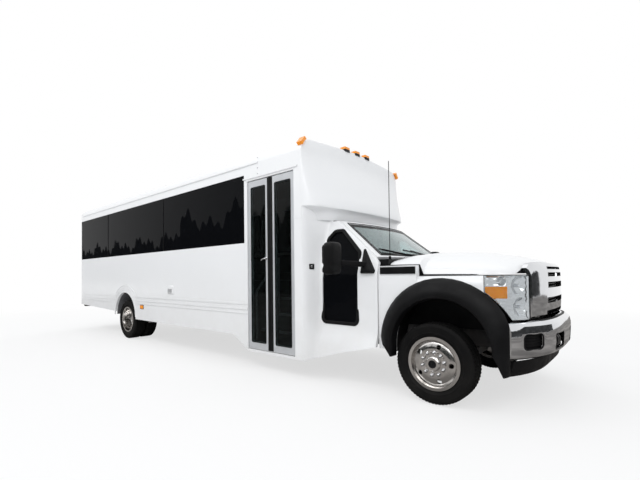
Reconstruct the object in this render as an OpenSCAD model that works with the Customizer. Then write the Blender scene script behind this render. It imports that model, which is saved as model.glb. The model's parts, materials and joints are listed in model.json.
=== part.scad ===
// Party bus: a shuttle body on a medium-duty truck chassis, with the entrance on the right.
// Modules are drawn about the front axle: X forward, Y left, Z up, ground at Z = 0.
// placed() then moves each piece so that the origin lies under the middle of the bus.

/* [Overall] */
// Front bumper face to rear bumper face
overall_length = 10400; // [9800:10:11000]
// Front axle to front bumper face
front_overhang = 985; // [960:5:1010]
// Front axle to rear axle
wheelbase = 6700; // [6400:10:7000]
// Outside of one side wall to the other
body_width = 2438; // [2400:2:2480]
// Ground to the top of the side walls
eave_height = 2870; // [2820:5:2950]
// Radius where wall turns into roof
roof_corner = 170; // [120:5:220]
// Rise of the roof between its corners
roof_crown = 45; // [20:1:70]

/* [Wheels] */
// Outside of a tyre
tyre_d = 806; // [780:2:820]
// Width of a tyre
tyre_w = 226; // [210:2:236]
// Rim lip
rim_d = 532; // [520:2:540]
// Between the middles of the front tyres
front_track = 1900; // [1890:2:1920]
// Between the middles of the rear wheel pairs
dual_track = 1880; // [1870:2:1890]
// Between the two tyres of a pair
dual_spacing = 254; // [248:2:264]
// Steering pivot from the middle of the bus
kingpin_y = 830; // [824:1:836]
// Bolt circle of the wheel nuts
lug_circle = 225; // [210:1:240]

/* [Chassis] */
// Outside of a frame rail from the middle
rail_out = 465; // [455:1:470]
// Flange width of a frame rail
rail_w = 70; // [60:1:80]
// Bottom of the frame rails
rail_bottom = 520; // [505:1:535]
// Top of the frame rails
rail_top = 700; // [690:1:705]

/* [Body] */
// Thickness of walls, roof and rear wall
wall_t = 40; // [34:1:46]
// Floor surface
floor_top = 960; // [950:1:980]
// Bottom edge of the side skirts
skirt_z = 444; // [420:2:460]
// Bottom edge of the rear wall
rear_skirt_z = 628; // [622:1:640]
// Front end of the side walls
body_front = -1600; // [-1606:1:-1594]
// Depth of the rounded rear lid
rear_depth = 160; // [140:5:200]
// Radius of the rear lid's top edge
rear_round = 100; // [60:5:130]
// Radius of the rear lid's upright corners
rear_corner = 40; // [20:2:60]
// Radius of the rear wheel arches
arch_r = 490; // [480:2:500]
// Centre height of the rear wheel arches
arch_z = 490; // [486:1:500]

/* [Windows] */
// Lower edge of the side windows
window_low = 1771; // [1760:1:1800]
// Upper edge of the side windows
window_high = 2745; // [2700:1:2780]
// Front edge of the side windows on the entrance side
window_front = -2710; // [-2760:2:-2700]
// Thickness of the glass
glass_t = 6; // [5:1:8]

/* [Entrance] */
// Rear edge of the entrance opening
door_rear = -2645; // [-2660:1:-2640]
// Front edge of the entrance opening
door_front = -1725; // [-1735:1:-1715]
// Bottom of the entrance opening
door_low = 272; // [268:1:276]
// Top of the entrance opening
door_high = 2645; // [2600:1:2660]
// Thickness of a door leaf
leaf_t = 40; // [34:1:44]
// Height of one entrance step
step_rise = 220; // [215:1:222]

/* [Cab] */
// Half width of the cab at its belt line
cab_half = 1030; // [1020:1:1040]
// Belt line, above which the cab leans in
belt_z = 1300; // [1280:5:1330]
// Lean of the cab above the belt line, as a slope
tumble = 0.29; // [0.26:0.01:0.31]
// Outward flare of the cab sill
sill_flare = 70; // [40:2:80]
// Thickness of the cab sides and the driver's door
cab_t = 45; // [40:1:50]

/* [Front end] */
// Outer face of the fenders from the middle
fender_half = 1012; // [1008:1:1016]
// Radius of the front wheel opening
flare_in = 490; // [486:1:500]
// Outer radius of the wheel-arch flares
flare_out = 680; // [660:2:690]
// How far a flare stands out from its fender
flare_bulge = 114; // [90:2:120]
// Half width of the hood at the back
hood_half = 905; // [895:1:906]
// Half width of the grille
grille_half = 720; // [715:1:722]
// Half width of the front bumper
bumper_half = 1010; // [1000:1:1011]

/* [Hidden] */
$fn = 64;
gap = 0.5;
half_w = body_width / 2;
wall_in = half_w - wall_t;
rear_face = front_overhang - overall_length;
bumper_out = 60;
body_rear = rear_face + bumper_out;
wall_rear = body_rear + rear_depth;
rear_x = -wheelbase;
axle_z = tyre_d / 2;
roof_flat = eave_height + roof_corner;
crown_span = half_w - roof_corner;
crown_r = (crown_span * crown_span + roof_crown * roof_crown) / (2 * roof_crown);
crown_z = roof_flat + roof_crown - crown_r;
frame_rear = body_rear + 60;
frame_front = 870;
cross_xs = [780, -1750, -2900, -4250, rear_x + 1100, rear_x - 700, frame_rear + 605];
bearer_xs = [-2000, -2850, -3900, -4600, -5400, rear_x + 650, rear_x - 650, frame_rear + 1195, frame_rear + 395];

// Helpers

function mix(a, b, t) = a + (b - a) * t;
function clamp(t) = max(0, min(1, t));
function smooth(t) = let (c = clamp(t)) c * c * (3 - 2 * c);
function unit(v) = v / norm(v);
function total(v) = v * [for (x = v) 1];

// Polygon points with every corner rounded to radius r
function rounded(pts, r, n = 5) =
    let (c = len(pts))
    [for (i = [0 : c - 1])
        let (p = pts[i],
             a = unit(pts[(i + c - 1) % c] - p),
             b = unit(pts[(i + 1) % c] - p),
             half = acos(a * b) / 2,
             m = p + unit(a + b) * r / sin(half),
             s = p + a * r / tan(half),
             e = p + b * r / tan(half))
        for (k = [0 : n]) m + unit(mix(s, e, k / n) - m) * r];

// Extrude a drawing of X and Z from y0 to y1
module along_y(y0, y1) {
    translate([0, y1, 0]) rotate([90, 0, 0]) linear_extrude(height = y1 - y0) children();
}

// Extrude a drawing of Y and Z from x0 to x1
module along_x(x0, x1) {
    translate([x0, 0, 0]) rotate([90, 0, 90]) linear_extrude(height = x1 - x0) children();
}

// Left piece and its mirror image on the right
module both() {
    children();
    mirror([0, 1, 0]) children();
}

module box(lo, hi) {
    translate(lo) cube(hi - lo);
}

module rod(p, q, r) {
    v = q - p;
    translate(p) rotate([0, acos(v[2] / norm(v)), atan2(v[1], v[0])]) cylinder(h = norm(v), r = r);
}

// Turn a drawing of radius and height about a line along Y
module turned(x, y) {
    translate([x, y, axle_z]) rotate([-90, 0, 0]) rotate_extrude($fn = 96) children();
}

// Rectangle with rounded corners
module round_rect(x0, z0, x1, z1, r) {
    translate([x0 + r, z0]) square([x1 - x0 - 2 * r, z1 - z0]);
    translate([x0, z0 + r]) square([x1 - x0, z1 - z0 - 2 * r]);
    for (x = [x0 + r, x1 - r], z = [z0 + r, z1 - r]) translate([x, z]) circle(r);
}

// Closed solid from points and four-sided faces, turned right side out
module solid(pts, quads) {
    tris = [for (q = quads) each [[q[0], q[1], q[2]], [q[0], q[2], q[3]]]];
    volume = total([for (t = tris) pts[t[0]] * cross(pts[t[1]], pts[t[2]])]);
    polyhedron(pts, volume > 0 ? [for (t = tris) [t[2], t[1], t[0]]] : tris);
}

// Curved plate between an outer and an inner net of points
module sheet(outer, inner) {
    rows = len(outer);
    cols = len(outer[0]);
    n = rows * cols;
    pts = concat([for (r = outer) each r], [for (r = inner) each r]);
    skin = [for (i = [0 : rows - 2], j = [0 : cols - 2])
        [i * cols + j, i * cols + j + 1, (i + 1) * cols + j + 1, (i + 1) * cols + j]];
    back = [for (q = skin) [n + q[3], n + q[2], n + q[1], n + q[0]]];
    last = (rows - 1) * cols;
    ends = [for (j = [0 : cols - 2]) each [[n + j, n + j + 1, j + 1, j],
        [last + j, last + j + 1, n + last + j + 1, n + last + j]]];
    sides = [for (i = [0 : rows - 2]) let (a = i * cols, b = a + cols, c = cols - 1) each
        [[a, b, n + b, n + a], [n + a + c, n + b + c, b + c, a + c]]];
    solid(pts, concat(skin, back, ends, sides));
}

// Closed solid through a row of rings
module loft(rings) {
    rows = len(rings);
    c = len(rings[0]);
    last = (rows - 1) * c;
    walls = [for (i = [0 : rows - 2], j = [0 : c - 1])
        [i * c + j, i * c + (j + 1) % c, (i + 1) * c + (j + 1) % c, (i + 1) * c + j]];
    caps = [for (j = [1 : c - 2]) each [[0, j + 1, j, j], [last, last + j, last + j + 1, last + j + 1]]];
    tris = concat([for (q = walls) each [[q[0], q[1], q[2]], [q[0], q[2], q[3]]]],
        [for (q = caps) [q[0], q[1], q[2]]]);
    pts = [for (r = rings) each r];
    volume = total([for (t = tris) pts[t[0]] * cross(pts[t[1]], pts[t[2]])]);
    polyhedron(pts, volume > 0 ? [for (t = tris) [t[2], t[1], t[0]]] : tris);
}

module placed() {
    translate([overall_length / 2 - front_overhang, 0, 0]) children();
}

// Cross-section of the bus body above z0, drawn in Y and Z and shrunk by d
module body_section(d, z0) {
    hw = half_w - d;
    intersection() {
        union() {
            translate([-hw, 0]) square([2 * hw, eave_height]);
            translate([-crown_span, 0]) square([2 * crown_span, roof_flat - d]);
            for (s = [-1, 1]) translate([s * crown_span, eave_height]) circle(roof_corner - d);
            intersection() {
                translate([0, crown_z]) circle(crown_r - d, $fn = 360);
                translate([-crown_span, eave_height]) square([2 * crown_span, 400]);
            }
        }
        translate([-hw, z0]) square([2 * hw, 4000]);
    }
}

// Chassis

module rail_section() {
    inner = rail_out - rail_w;
    difference() {
        translate([inner, rail_bottom]) square([rail_w, rail_top - rail_bottom]);
        translate([inner - 1, rail_bottom + 10]) square([rail_w - 9, rail_top - rail_bottom - 20]);
    }
}

// Middle of the jacking pads under the rails
jack_x = -3600;

module chassis_frame() {
    color("dimgray") {
        both() along_x(frame_rear, frame_front) rail_section();
        for (x = cross_xs)
            translate([x, 0, 655]) rotate([90, 0, 0])
                cylinder(h = 2 * rail_out - 10, r = 38, center = true);
        both() box([-70, rail_out - 5, rail_top - 10], [70, 610, rail_top]);
        both() box([jack_x - 50, rail_out - rail_w, rail_bottom - 12], [jack_x + 50, rail_out, rail_bottom + 1]);
    }
}

module engine() {
    color("gray") {
        box([-450, -340, 560], [520, 340, 1190]);
        translate([-1150, 0, 560]) rotate([0, 90, 0]) cylinder(r = 110, h = 720);
        both() box([0, 330, 600], [120, rail_out - 10 - gap, 660]);
    }
}

module radiator() {
    color("black") {
        box([700, -620, rail_top], [750, 620, 1240]);
        both() box([700, 600, 960], [750, grille_half + 5 - gap, 1020]);
        both() box([740, 300, 1100], [855.8, 340, 1140]);
    }
}

pin_r = 23;
tie_x = -160;
tie_y = kingpin_y;
tie_r = 12;

module front_axle() {
    // Half of the beam's outline, in Y and Z
    half_beam = [[kingpin_y, 365], [760, 365], [520, 300], [-520, 300], [-760, 365], [-kingpin_y, 365],
                 [-kingpin_y, 440], [-750, 440], [-500, 375], [500, 375], [750, 440], [kingpin_y, 440]];
    color("dimgray") difference() {
        union() {
            along_x(-40, 40) polygon(half_beam);
            both() translate([0, kingpin_y, 343]) cylinder(r = 38, h = 120);
            both() box([-80, 470, 371], [80, 610, 430]);
        }
        both() translate([0, kingpin_y, 300]) cylinder(r = pin_r + 0.3, h = 200);
    }
}

module knuckle() {
    web = kingpin_y + 46;
    color("slategray") difference() {
        union() {
            for (z = [306, 470]) {
                translate([0, kingpin_y, z]) cylinder(r = 42, h = 30);
                box([-42, kingpin_y, z], [42, web + 5, z + 30]);
            }
            translate([0, kingpin_y, 306]) cylinder(r = pin_r, h = 194);
            box([-50, web, 306], [50, web + 16, 500]);
            translate([0, web, axle_z]) rotate([-90, 0, 0]) cylinder(r = 35, h = 1048 - web);
            box([tie_x, tie_y - 20, 306], [0, tie_y + 20, 330]);
            translate([tie_x, tie_y, 306]) cylinder(r = 24, h = 24);
        }
        translate([tie_x, tie_y, 300]) cylinder(r = tie_r + 0.3, h = 40);
    }
}

module tie_rod() {
    color("slategray") {
        rod([tie_x, -tie_y, 285], [tie_x, tie_y, 285], 14);
        for (s = [-1, 1]) translate([tie_x, s * tie_y, 271]) cylinder(r = tie_r, h = 68);
        for (s = [-1, 1]) translate([tie_x, s * tie_y, 268]) cylinder(r = 20, h = 33);
    }
}

module springs() {
    leaf_r = 2000;
    turns = 4.5;
    wire = 9;
    steps = turns * 14;
    color("dimgray") both() {
        along_y(500, 570) intersection() {
            difference() {
                translate([rear_x, 470 + leaf_r]) circle(leaf_r, $fn = 360);
                translate([rear_x, 470 + leaf_r]) circle(leaf_r - 55, $fn = 360);
            }
            translate([rear_x - 720, 440]) square([1440, 300]);
        }
        for (s = [-1, 1])
            box([rear_x + s * 700 - 35, rail_out + gap, 590], [rear_x + s * 700 + 35, 571, rail_top]);
        loft([for (k = [0 : steps])
            let (a = 360 * turns * k / steps, z = mix(430.5 + wire, rail_top - 10.5 - wire, k / steps))
            [for (b = [30 : 60 : 330]) let (r = 55 + wire * cos(b))
                [r * cos(a), 540 + r * sin(a), z + wire * sin(b)]]]);
    }
}

module rear_axle() {
    color("dimgray") translate([rear_x, 0, 0]) {
        translate([0, 0, axle_z]) rotate([90, 0, 0]) cylinder(r = 62, h = 1310, center = true);
        translate([0, 0, axle_z]) rotate([90, 0, 0]) cylinder(r = 38, h = 2 * (dual_track / 2 + 105), center = true);
        translate([0, 0, axle_z]) rotate([90, 0, 0]) cylinder(r = 170, h = 220, center = true);
        translate([0, 0, axle_z]) rotate([0, 90, 0]) cylinder(r = 75, h = 290);
        rod([280, 0, axle_z], [wheelbase - 1150 - 2, 0, 560], 45);
        both() box([-70, 500, axle_z], [70, 570, 469.7]);
    }
}

module exhaust() {
    // Route of the pipe from the engine to the outlet ahead of the rear wheel
    route = [[-350, -250, 470], [-800, -600, 470], [-3700, -600, 540], [-4800, -600, 540],
             [rear_x + 1200, -600, 500], [rear_x + 920, -1140, 430]];
    color("silver") {
        translate([-350, -250, 440]) cylinder(r = 38, h = 120 - gap);
        for (i = [0 : len(route) - 2]) {
            ahead = 14 * unit(route[i + 1] - route[i]);
            rod(route[i] - ahead, route[i + 1] + ahead, 35 - 2 * (i % 2));
        }
        rod([-3750, -600, 540], [-4750, -600, 540], 105);
        for (x = [-3900, -4600]) translate([x, -600, 640]) cylinder(r = 8, h = 160 - gap);
    }
}

module fuel_tank() {
    color("black") along_y(-380, 380)
        round_rect(cross_xs[6] + 38 + gap, 420, cross_xs[5] - 38 - gap, 690, 32);
}

// Tow eyes: radius of the bore, thickness
eye_r = 20;
eye_t = 30;

module tow_eyes() {
    front = [frame_front - 150, rail_out - 100];
    rear = [frame_rear + 130, rail_bottom - 60];
    color("black") both() {
        // Front: a flat plate under the rail, bored upright
        translate([0, 0, rail_bottom - gap - eye_t]) linear_extrude(height = eye_t) difference() {
            union() {
                translate(front) circle(2 * eye_r);
                translate([front[0] - 2 * eye_r, front[1]]) square([4 * eye_r, 100]);
            }
            translate(front) circle(eye_r);
        }
        // Rear: an upright tab under the rail, bored across
        along_y(rail_out - 45, rail_out - 45 + eye_t) difference() {
            union() {
                translate(rear) circle(2 * eye_r);
                translate([rear[0] - 2 * eye_r, rear[1]]) square([4 * eye_r, 60 - gap]);
            }
            translate(rear) circle(eye_r);
        }
    }
}

// Wheels

module tyre_section() {
    // Half outline of the sidewall: radius and distance from the middle plane
    side = [[rim_d / 2 - 16.7, 92], [rim_d / 2 + 7, 92], [rim_d / 2 + 16, 103], [rim_d / 2 + 42, tyre_w / 2 - 2],
            [tyre_d / 2 - 68, tyre_w / 2], [tyre_d / 2 - 32, tyre_w / 2 - 5], [tyre_d / 2 - 12, tyre_w / 2 - 14],
            [tyre_d / 2 - 2, tyre_w / 2 - 28], [tyre_d / 2, tyre_w / 2 - 46]];
    n = len(side);
    difference() {
        polygon(concat(side, [for (i = [n - 1 : -1 : 0]) [side[i][0], -side[i][1]]]));
        for (h = [-60, -25, 25, 60]) translate([tyre_d / 2 - 11, h - 5]) square([20, 10]);
    }
}

module rim_barrel() {
    lip = rim_d / 2;
    translate([lip - 30, -95]) square([13, 190]);
    for (h = [-103, 95]) translate([lip - 30, h]) square([30, 8]);
}

module ring_of(n, r) {
    for (i = [0 : n - 1]) rotate([0, 0, 360 * i / n]) translate([r, 0, 0]) children();
}

// A front wheel's rim, hub and brake disc, about its own middle plane
module rim_front() {
    lip = rim_d / 2;
    hub_in = -(front_track / 2 - (kingpin_y + 68));
    color("gainsboro") translate([0, front_track / 2, axle_z]) rotate([-90, 0, 0]) difference() {
        union() {
            rotate_extrude($fn = 96) {
                rim_barrel();
                polygon([[lip - 25, 58], [lip - 61, 84], [lip - 106, 97], [80, 99], [80, 84], [lip - 112, 82],
                         [lip - 71, 70], [lip - 25, 42]]);
                translate([30, hub_in]) square([60, 99 - hub_in]);
                translate([80, -45]) square([110, 24]);
                polygon([[0, 102], [0, 128], [62, 128], [72, 120], [76, 90], [60, 90], [60, 102]]);
            }
            ring_of(10, lug_circle / 2) translate([0, 0, 92]) cylinder(r = 14, h = 22);
        }
        translate([0, 0, -200]) cylinder(r = 35.4, h = 302);
        ring_of(5, 176) translate([0, 0, 30]) cylinder(r = 24, h = 100);
    }
}

// A rear pair of rims with hub and drum, about the middle plane of the pair
module rims_rear() {
    lip = rim_d / 2;
    s = dual_spacing / 2;
    color("gainsboro") translate([rear_x, dual_track / 2, axle_z]) rotate([-90, 0, 0]) difference() {
        union() {
            rotate_extrude($fn = 96) {
                for (h = [-s, s]) translate([0, h]) rim_barrel();
                polygon([[lip - 25, s - 70], [lip - 61, 14], [lip - 106, 8], [70, 8], [70, -8], [lip - 106, -8],
                         [lip - 61, -14], [lip - 25, 70 - s], [lip - 25, 88 - s], [lip - 48, 0], [lip - 25, s - 88]]);
                translate([30, -275]) square([52, 375]);
                translate([70, -220]) square([130, 150]);
                polygon([[0, 108], [0, 138], [60, 138], [72, 128], [92, 122], [92, 90], [60, 90], [60, 108]]);
            }
            ring_of(10, lug_circle / 2) translate([0, 0, 6]) cylinder(r = 14, h = 26);
        }
        translate([0, 0, -300]) cylinder(r = 38.4, h = 408);
        ring_of(5, 176) translate([0, 0, -60]) cylinder(r = 22, h = 120);
    }
}

module tyre_front() {
    color([0.08, 0.08, 0.08]) turned(0, front_track / 2) tyre_section();
}

module tyres_rear() {
    color([0.08, 0.08, 0.08]) for (s = [-1, 1])
        turned(rear_x, dual_track / 2 + s * dual_spacing / 2) tyre_section();
}

// Cab

// Radius along the top of the fenders
fender_r = 95;

// Half width of the cab side at station x and height z
function cab_y(x, z) =
    let (lean = max(0, z - belt_z) * tumble,
         sill = smooth((690 - z) / 280) * sill_flare,
         t = smooth((-1430 - x) / (-1430 - body_front)))
    mix(cab_half - lean + sill, half_w, t);

// Lower and upper edge of the cab side: station, height
cab_low = [[body_front, 236], [-1041, 399], [-640, 494]];
cab_high = [[body_front, 2034], [-1575, 2022], [-1555, 1998], [-1440, 1985], [-1303, 1983], [-698, 1490],
            [-640, 1428]];
cab_xs = [body_front, -1575, -1550, -1525, -1500, -1475, -1450, -1425, -1303, -1170, -1041, -900, -790, -698, -640];

function cab_net(inset) = [for (k = [0 : 14]) [for (x = cab_xs)
    let (z = mix(lookup(x, cab_low), lookup(x, cab_high), k / 14)) [x, cab_y(x, z) - inset, z]]];

// Left cab side as a curved plate
module cab_plate(from, to) {
    sheet(cab_net(from), cab_net(to));
}

vision_outline = [[-1425, 716], [-902, 716], [-902, 1560], [-1205, 1855], [-1330, 1855],
                  [-1425, 1760]];
door_sill = 650;
driver_outline = [[-1425, door_sill], [-648, door_sill], [-648, 1370], [-730, 1440], [-1290, 1905], [-1425, 1905]];
driver_window = [[-1380, 1330], [-800, 1330], [-800, 1425], [-1275, 1835], [-1380, 1835]];

// Hinge of the driver's door: station and distance from the middle, heights, radius of its pins
door_pin = [-668, 1014];
door_pin_zs = [800, 1180];
door_pin_r = 4.5;

// Half width of the firewall, inside the fenders, and of the dashboard
firewall_half = fender_half - fender_r - 5;
dash_half = firewall_half - 25;

module cab_floor() {
    color("dimgray") {
        for (z = door_pin_zs) difference() {
            union() {
                translate([door_pin[0], door_pin[1], z - 18]) cylinder(r = 9, h = 36);
                box([door_pin[0] - 9, 895, z - 18], [door_pin[0] + 9, door_pin[1], z + 18]);
                box([door_pin[0] - 9, 895, z - 18], [-590, 925, z + 18]);
            }
            translate([door_pin[0], door_pin[1], z - 20]) cylinder(r = door_pin_r + 0.3, h = 40);
        }
        box([-600, -firewall_half, 720], [-560, firewall_half, 1400]);
        box([-1640, -955, 720], [-580, 955, 750]);
        box([-1640, -955, 720], [-1600, 955, floor_top]);
        both() for (x = [-700, -1500]) translate([x, rail_out - 35, rail_top]) cylinder(r = 34, h = 30);
    }
}

module cab_side_right() {
    color("white") mirror([0, 1, 0]) difference() {
        cab_plate(0, cab_t);
        along_y(600, 1400) polygon(rounded(vision_outline, 60));
    }
}

module cab_side_left() {
    color("white") difference() {
        cab_plate(0, cab_t);
        along_y(600, 1400) {
            offset(delta = 7) polygon(driver_outline);
            translate([-700, door_sill - 7]) square([100, 1377 - door_sill]);
        }
    }
}

module driver_door() {
    color("white") difference() {
        intersection() {
            cab_plate(0, cab_t);
            along_y(600, 1400) polygon(driver_outline);
        }
        along_y(600, 1400) polygon(rounded(driver_window, 40));
        for (z = door_pin_zs) box([door_pin[0] - 24, 900, z - 24], [-600, door_pin[1] + 11, z + 24]);
    }
    color("white") for (z = door_pin_zs)
        translate([door_pin[0], door_pin[1], z - 28]) cylinder(r = door_pin_r, h = 56);
}

module driver_glass() {
    color([0.1, 0.1, 0.1]) intersection() {
        cab_plate(18, 18 + glass_t);
        along_y(600, 1400) offset(delta = -gap) polygon(rounded(driver_window, 40));
    }
}

// Windshield surface: u across from -1 to 1, v from base to top
function screen(u, v) =
    mix([-560 - 110 * u * u, 850 * u, 1500], [-1190 - 90 * u * u, 720 * u, 1985], v);
screen_normal = [0.614, 0, 0.789];
function screen_net(u1, v0, v1, depth) = [for (k = [0 : 6]) [for (j = [-8 : 8])
    screen(j * u1 / 8, mix(v0, v1, k / 6)) - depth * screen_normal]];

module windshield_frame() {
    color("white") difference() {
        sheet(screen_net(1.088, 0, 1, 0), screen_net(1.088, 0, 1, 40));
        sheet(screen_net(0.98, 0.06, 0.93, -40), screen_net(0.98, 0.06, 0.93, 90));
    }
}

module windshield() {
    color([0.2, 0.22, 0.24]) sheet(screen_net(0.9795, 0.061, 0.929, 6), screen_net(0.9795, 0.061, 0.929, 6 + glass_t));
}

module dashboard() {
    wheel = [-985, 420, 1345];
    color("black") {
        along_y(-dash_half, dash_half) polygon([[-600 - gap, 1000], [-600 - gap, 1398], [-640, 1398], [-800, 1330],
                                    [-830, 1230], [-760, 1080], [-720, 1000]]);
        rod([-790, 420, 1240], wheel, 30);
        translate(wheel) rotate([0, -62, 0]) {
            rotate_extrude($fn = 64) translate([200, 0]) circle(15, $fn = 32);
            for (a = [90, 210, 330]) rotate([0, 0, a]) translate([0, -15, -8]) cube([200, 30, 16]);
            cylinder(r = 60, h = 30, center = true);
        }
    }
}

module driver_seat() {
    color("black") {
        box([-1480, 230, 750], [-1120, 610, 1010]);
        box([-1560, 180, 1000], [-1110, 660, 1140]);
        along_y(190, 650) polygon([[-1560, 1100], [-1450, 1100], [-1520, 1700], [-1610, 1700]]);
        along_y(290, 550) polygon([[-1610, 1690], [-1535, 1690], [-1550, 1880], [-1625, 1880]]);
    }
}

// Hinge of the hood: station and height, place of its ears, radius of its pin
hood_pin = [-556, 1486];
hood_pin_y = 520;
hood_pin_r = 5;
cowl_top = 1468;

// Black cowl under the windshield with the hood's hinge ears, two wipers and the aerial
module cowl() {
    // Wiper: pivot Y, tip Y
    wipers = [[330, -180], [-280, -760]];
    color([0.08, 0.08, 0.08]) {
        box([-800, -930, 1400], [-547, 930, cowl_top]);
        for (w = wipers) {
            a = screen(w[0] / 850, 0) + [10, 0, 22];
            b = screen(w[1] / 850, 0.16) + 20 * screen_normal;
            translate([a[0], a[1], cowl_top - 6]) cylinder(r = 7, h = a[2] + 14 - cowl_top);
            rod(a, b, 9);
        }
        translate([-575, -850, cowl_top - 6]) cylinder(r = 14, h = 40);
        translate([-575, -850, cowl_top - 6]) cylinder(r = 4, h = 1130);
        both() for (y = [hood_pin_y - 24, hood_pin_y + 12]) along_y(y, y + 12) difference() {
            union() {
                translate(hood_pin) circle(9);
                translate([hood_pin[0] - 9, cowl_top - 6]) square([18, hood_pin[1] - cowl_top + 6]);
            }
            translate(hood_pin) circle(hood_pin_r + 0.3);
        }
    }
}

// Left mirror: a foot on the cab side, two arms and the head
module mirror_solid() {
    // Side view of the head
    head = [[-1070, 1300], [-930, 1300], [-930, 1660], [-1070, 1660]];
    color([0.08, 0.08, 0.08]) {
        difference() {
            along_y(900, 1075) polygon([[-850, 1310], [-675, 1310], [-667, 1350], [-812, 1572], [-850, 1572]]);
            cab_plate(-gap, 300);
        }
        for (z = [1345, 1420]) rod([-800, 1040, z], [-980, 1300, z + 40], 16);
        intersection() {
            along_y(1270, 1480) polygon(rounded(head, 45));
            along_x(-1100, -900) polygon(rounded([[1270, 1300], [1480, 1300], [1480, 1660], [1270, 1660]], 50));
        }
    }
}

// Front end

arch_c = [70, 560];

module fender_section() {
    z = 1275 - fender_r;
    difference() {
        union() {
            translate([fender_half - 30, 480]) square([30, z - 480]);
            intersection() {
                translate([fender_half - fender_r, z]) circle(fender_r);
                translate([fender_half - fender_r, z]) square(fender_r);
            }
        }
        translate([fender_half - fender_r, z]) circle(fender_r - 30);
    }
}

module fenders() {
    color("white") both() difference() {
        union() {
            along_x(-634, 478) fender_section();
            along_x(-634, -188) polygon([[fender_half - 30, 1180], [fender_half, 1180], [fender_half - 8, 1385],
                                         [fender_half - 75, 1392], [fender_half - 85, 1262]]);
            box([-560 + gap, 700, 1100], [-530, fender_half - 10, 1240]);
        }
        along_y(600, 1200) {
            translate(arch_c) circle(flare_in + 12, $fn = 128);
            translate([arch_c[0] - flare_in - 12, 400]) square([2 * flare_in + 24, arch_c[1] - 400]);
        }
    }
}

// Inner and outer edge of a flare along its path: leg bottom, arch, leg bottom
function flare_edge(a) = let (d = [cos(a), sin(a)])
    [arch_c + flare_in * d,
     [min(685, arch_c[0] + flare_out * d[0]), arch_c[1] + 15 + flare_out * d[1] * smooth((a + 60) / 100)]];
flare_path = concat([[[650, 385], [687, 385]], [[604, 480], [687, 480]]],
    [for (a = [0 : 8 : 176]) flare_edge(a)],
    [[[-421, 520], [-590, 530]], [[-424, 430], [-490, 427]]]);
// Flare section: share of the way from inner to outer edge, share of the bulge
flare_section = [[0, 0], [0, 0.72], [0.05, 0.92], [0.16, 1], [0.4, 0.92], [0.72, 0.62], [0.93, 0.26], [1, 0]];

module flares() {
    back = fender_half + gap;
    color([0.1, 0.1, 0.1]) both() {
        loft([for (e = flare_path) [for (s = flare_section)
            let (p = mix(e[0], e[1], s[0])) [p[0], back + s[1] * flare_bulge, p[1]]]]);
        along_x(-610, -195) polygon([[fender_half - 4.2, 1300], [fender_half + 8, 1300],
                                     [fender_half + 5, 1376], [fender_half - 7.1, 1376]]);
    }
}

module wheel_liners() {
    c = [45, 560];
    color([0.06, 0.06, 0.06]) both() along_y(620, fender_half - 30 - gap) difference() {
        union() {
            translate(c) circle(552, $fn = 128);
            translate([c[0] - 552, 440]) square([1104, c[1] - 440]);
        }
        translate(c) circle(540, $fn = 128);
        translate([c[0] - 540, 0]) square([1080, c[1]]);
        translate([c[0] - 600, -100]) square([1200, 540]);
    }
}

// Hood rows: station, setback at the sides, half width, side height, crest height, share of the lip shape
hood_rows = [[-540, 0, hood_half, 1402, 1492, 0], [-400, 0, hood_half, 1402, 1530, 0],
             [-190, 0, hood_half, 1400, 1545, 0], [-150, 0, hood_half, 1294, 1546, 0],
             [100, 0, hood_half - 4, 1292, 1542, 0], [350, 0, hood_half - 18, 1289, 1520, 0],
             [560, 4, hood_half - 46, 1286, 1480, 0], [700, 38, hood_half - 84, 1285, 1444, 0.1],
             [770, 92, hood_half - 100, 1286, 1420, 0.5], [808, 122, hood_half - 112, 1288, 1400, 0.8]];

// Height of the hood's front lip above its corners, from 1 at the middle to 0
function lip(y) = 1 - smooth((abs(y) - 560) / 230);

function hood_net(t) = [for (r = hood_rows) [for (a = [-90 : 9 : 90])
    let (s = sin(a),
         y = (r[2] - t) * s,
         arch = pow(max(0, 1 - pow(abs(s), 3)), 0.6))
    [r[0] - r[1] * pow(abs(s), 2.4), y, mix(r[3], r[4], mix(arch, lip(y), r[5])) - t * cos(a)]]];

module hood() {
    color("white") {
        sheet(hood_net(0), hood_net(25));
        both() {
            along_y(hood_pin_y - 10, hood_pin_y + 10) {
                translate(hood_pin) circle(8);
                polygon([hood_pin - [0, 8], [-538, 1459], [-526, 1462], [-526, 1480], [-540, 1480], hood_pin + [0, 8]]);
            }
            translate([hood_pin[0], hood_pin_y - 25, hood_pin[1]]) rotate([-90, 0, 0]) cylinder(r = hood_pin_r, h = 50);
        }
    }
}

// Plan curve of the front end: X at distance y, from centre x to a drop at half width
function nose(y, x, drop, half, p) = x - drop * pow(abs(y) / half, p);

// Top edge of the grille at the middle
grille_top = 1392;

module grille() {
    // Slots: lower and upper edge
    slots = [[890, 930], [1000, 1055], [1148, 1205], [1258, 1298], [1330, 1356]];
    // Rows: share of the height, setback
    rows = [[0, 40], [0.05, 8], [0.3, 0], [0.6, 0], [0.82, 5], [0.92, 16], [0.97, 30], [1, 50]];
    corner = 90;
    function top(y) = let (d = max(0, abs(y) - grille_half + corner))
        grille_top - corner * 0.9 * (1 - sqrt(1 - d * d / (corner * corner) * 0.9));
    function net(t) = [for (r = rows) [for (j = [-18 : 18]) let (y = j * (grille_half - 2) / 18)
        [nose(y, 908, 95, grille_half, 2.4) - r[1] - t, y, mix(866, top(y), r[0])]]];
    color("silver") difference() {
        sheet(net(0), net(36));
        for (s = slots) box([700, -500 + s[0] / 10, s[0]], [1000, 500 - s[0] / 10, s[1]]);
    }
}

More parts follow.
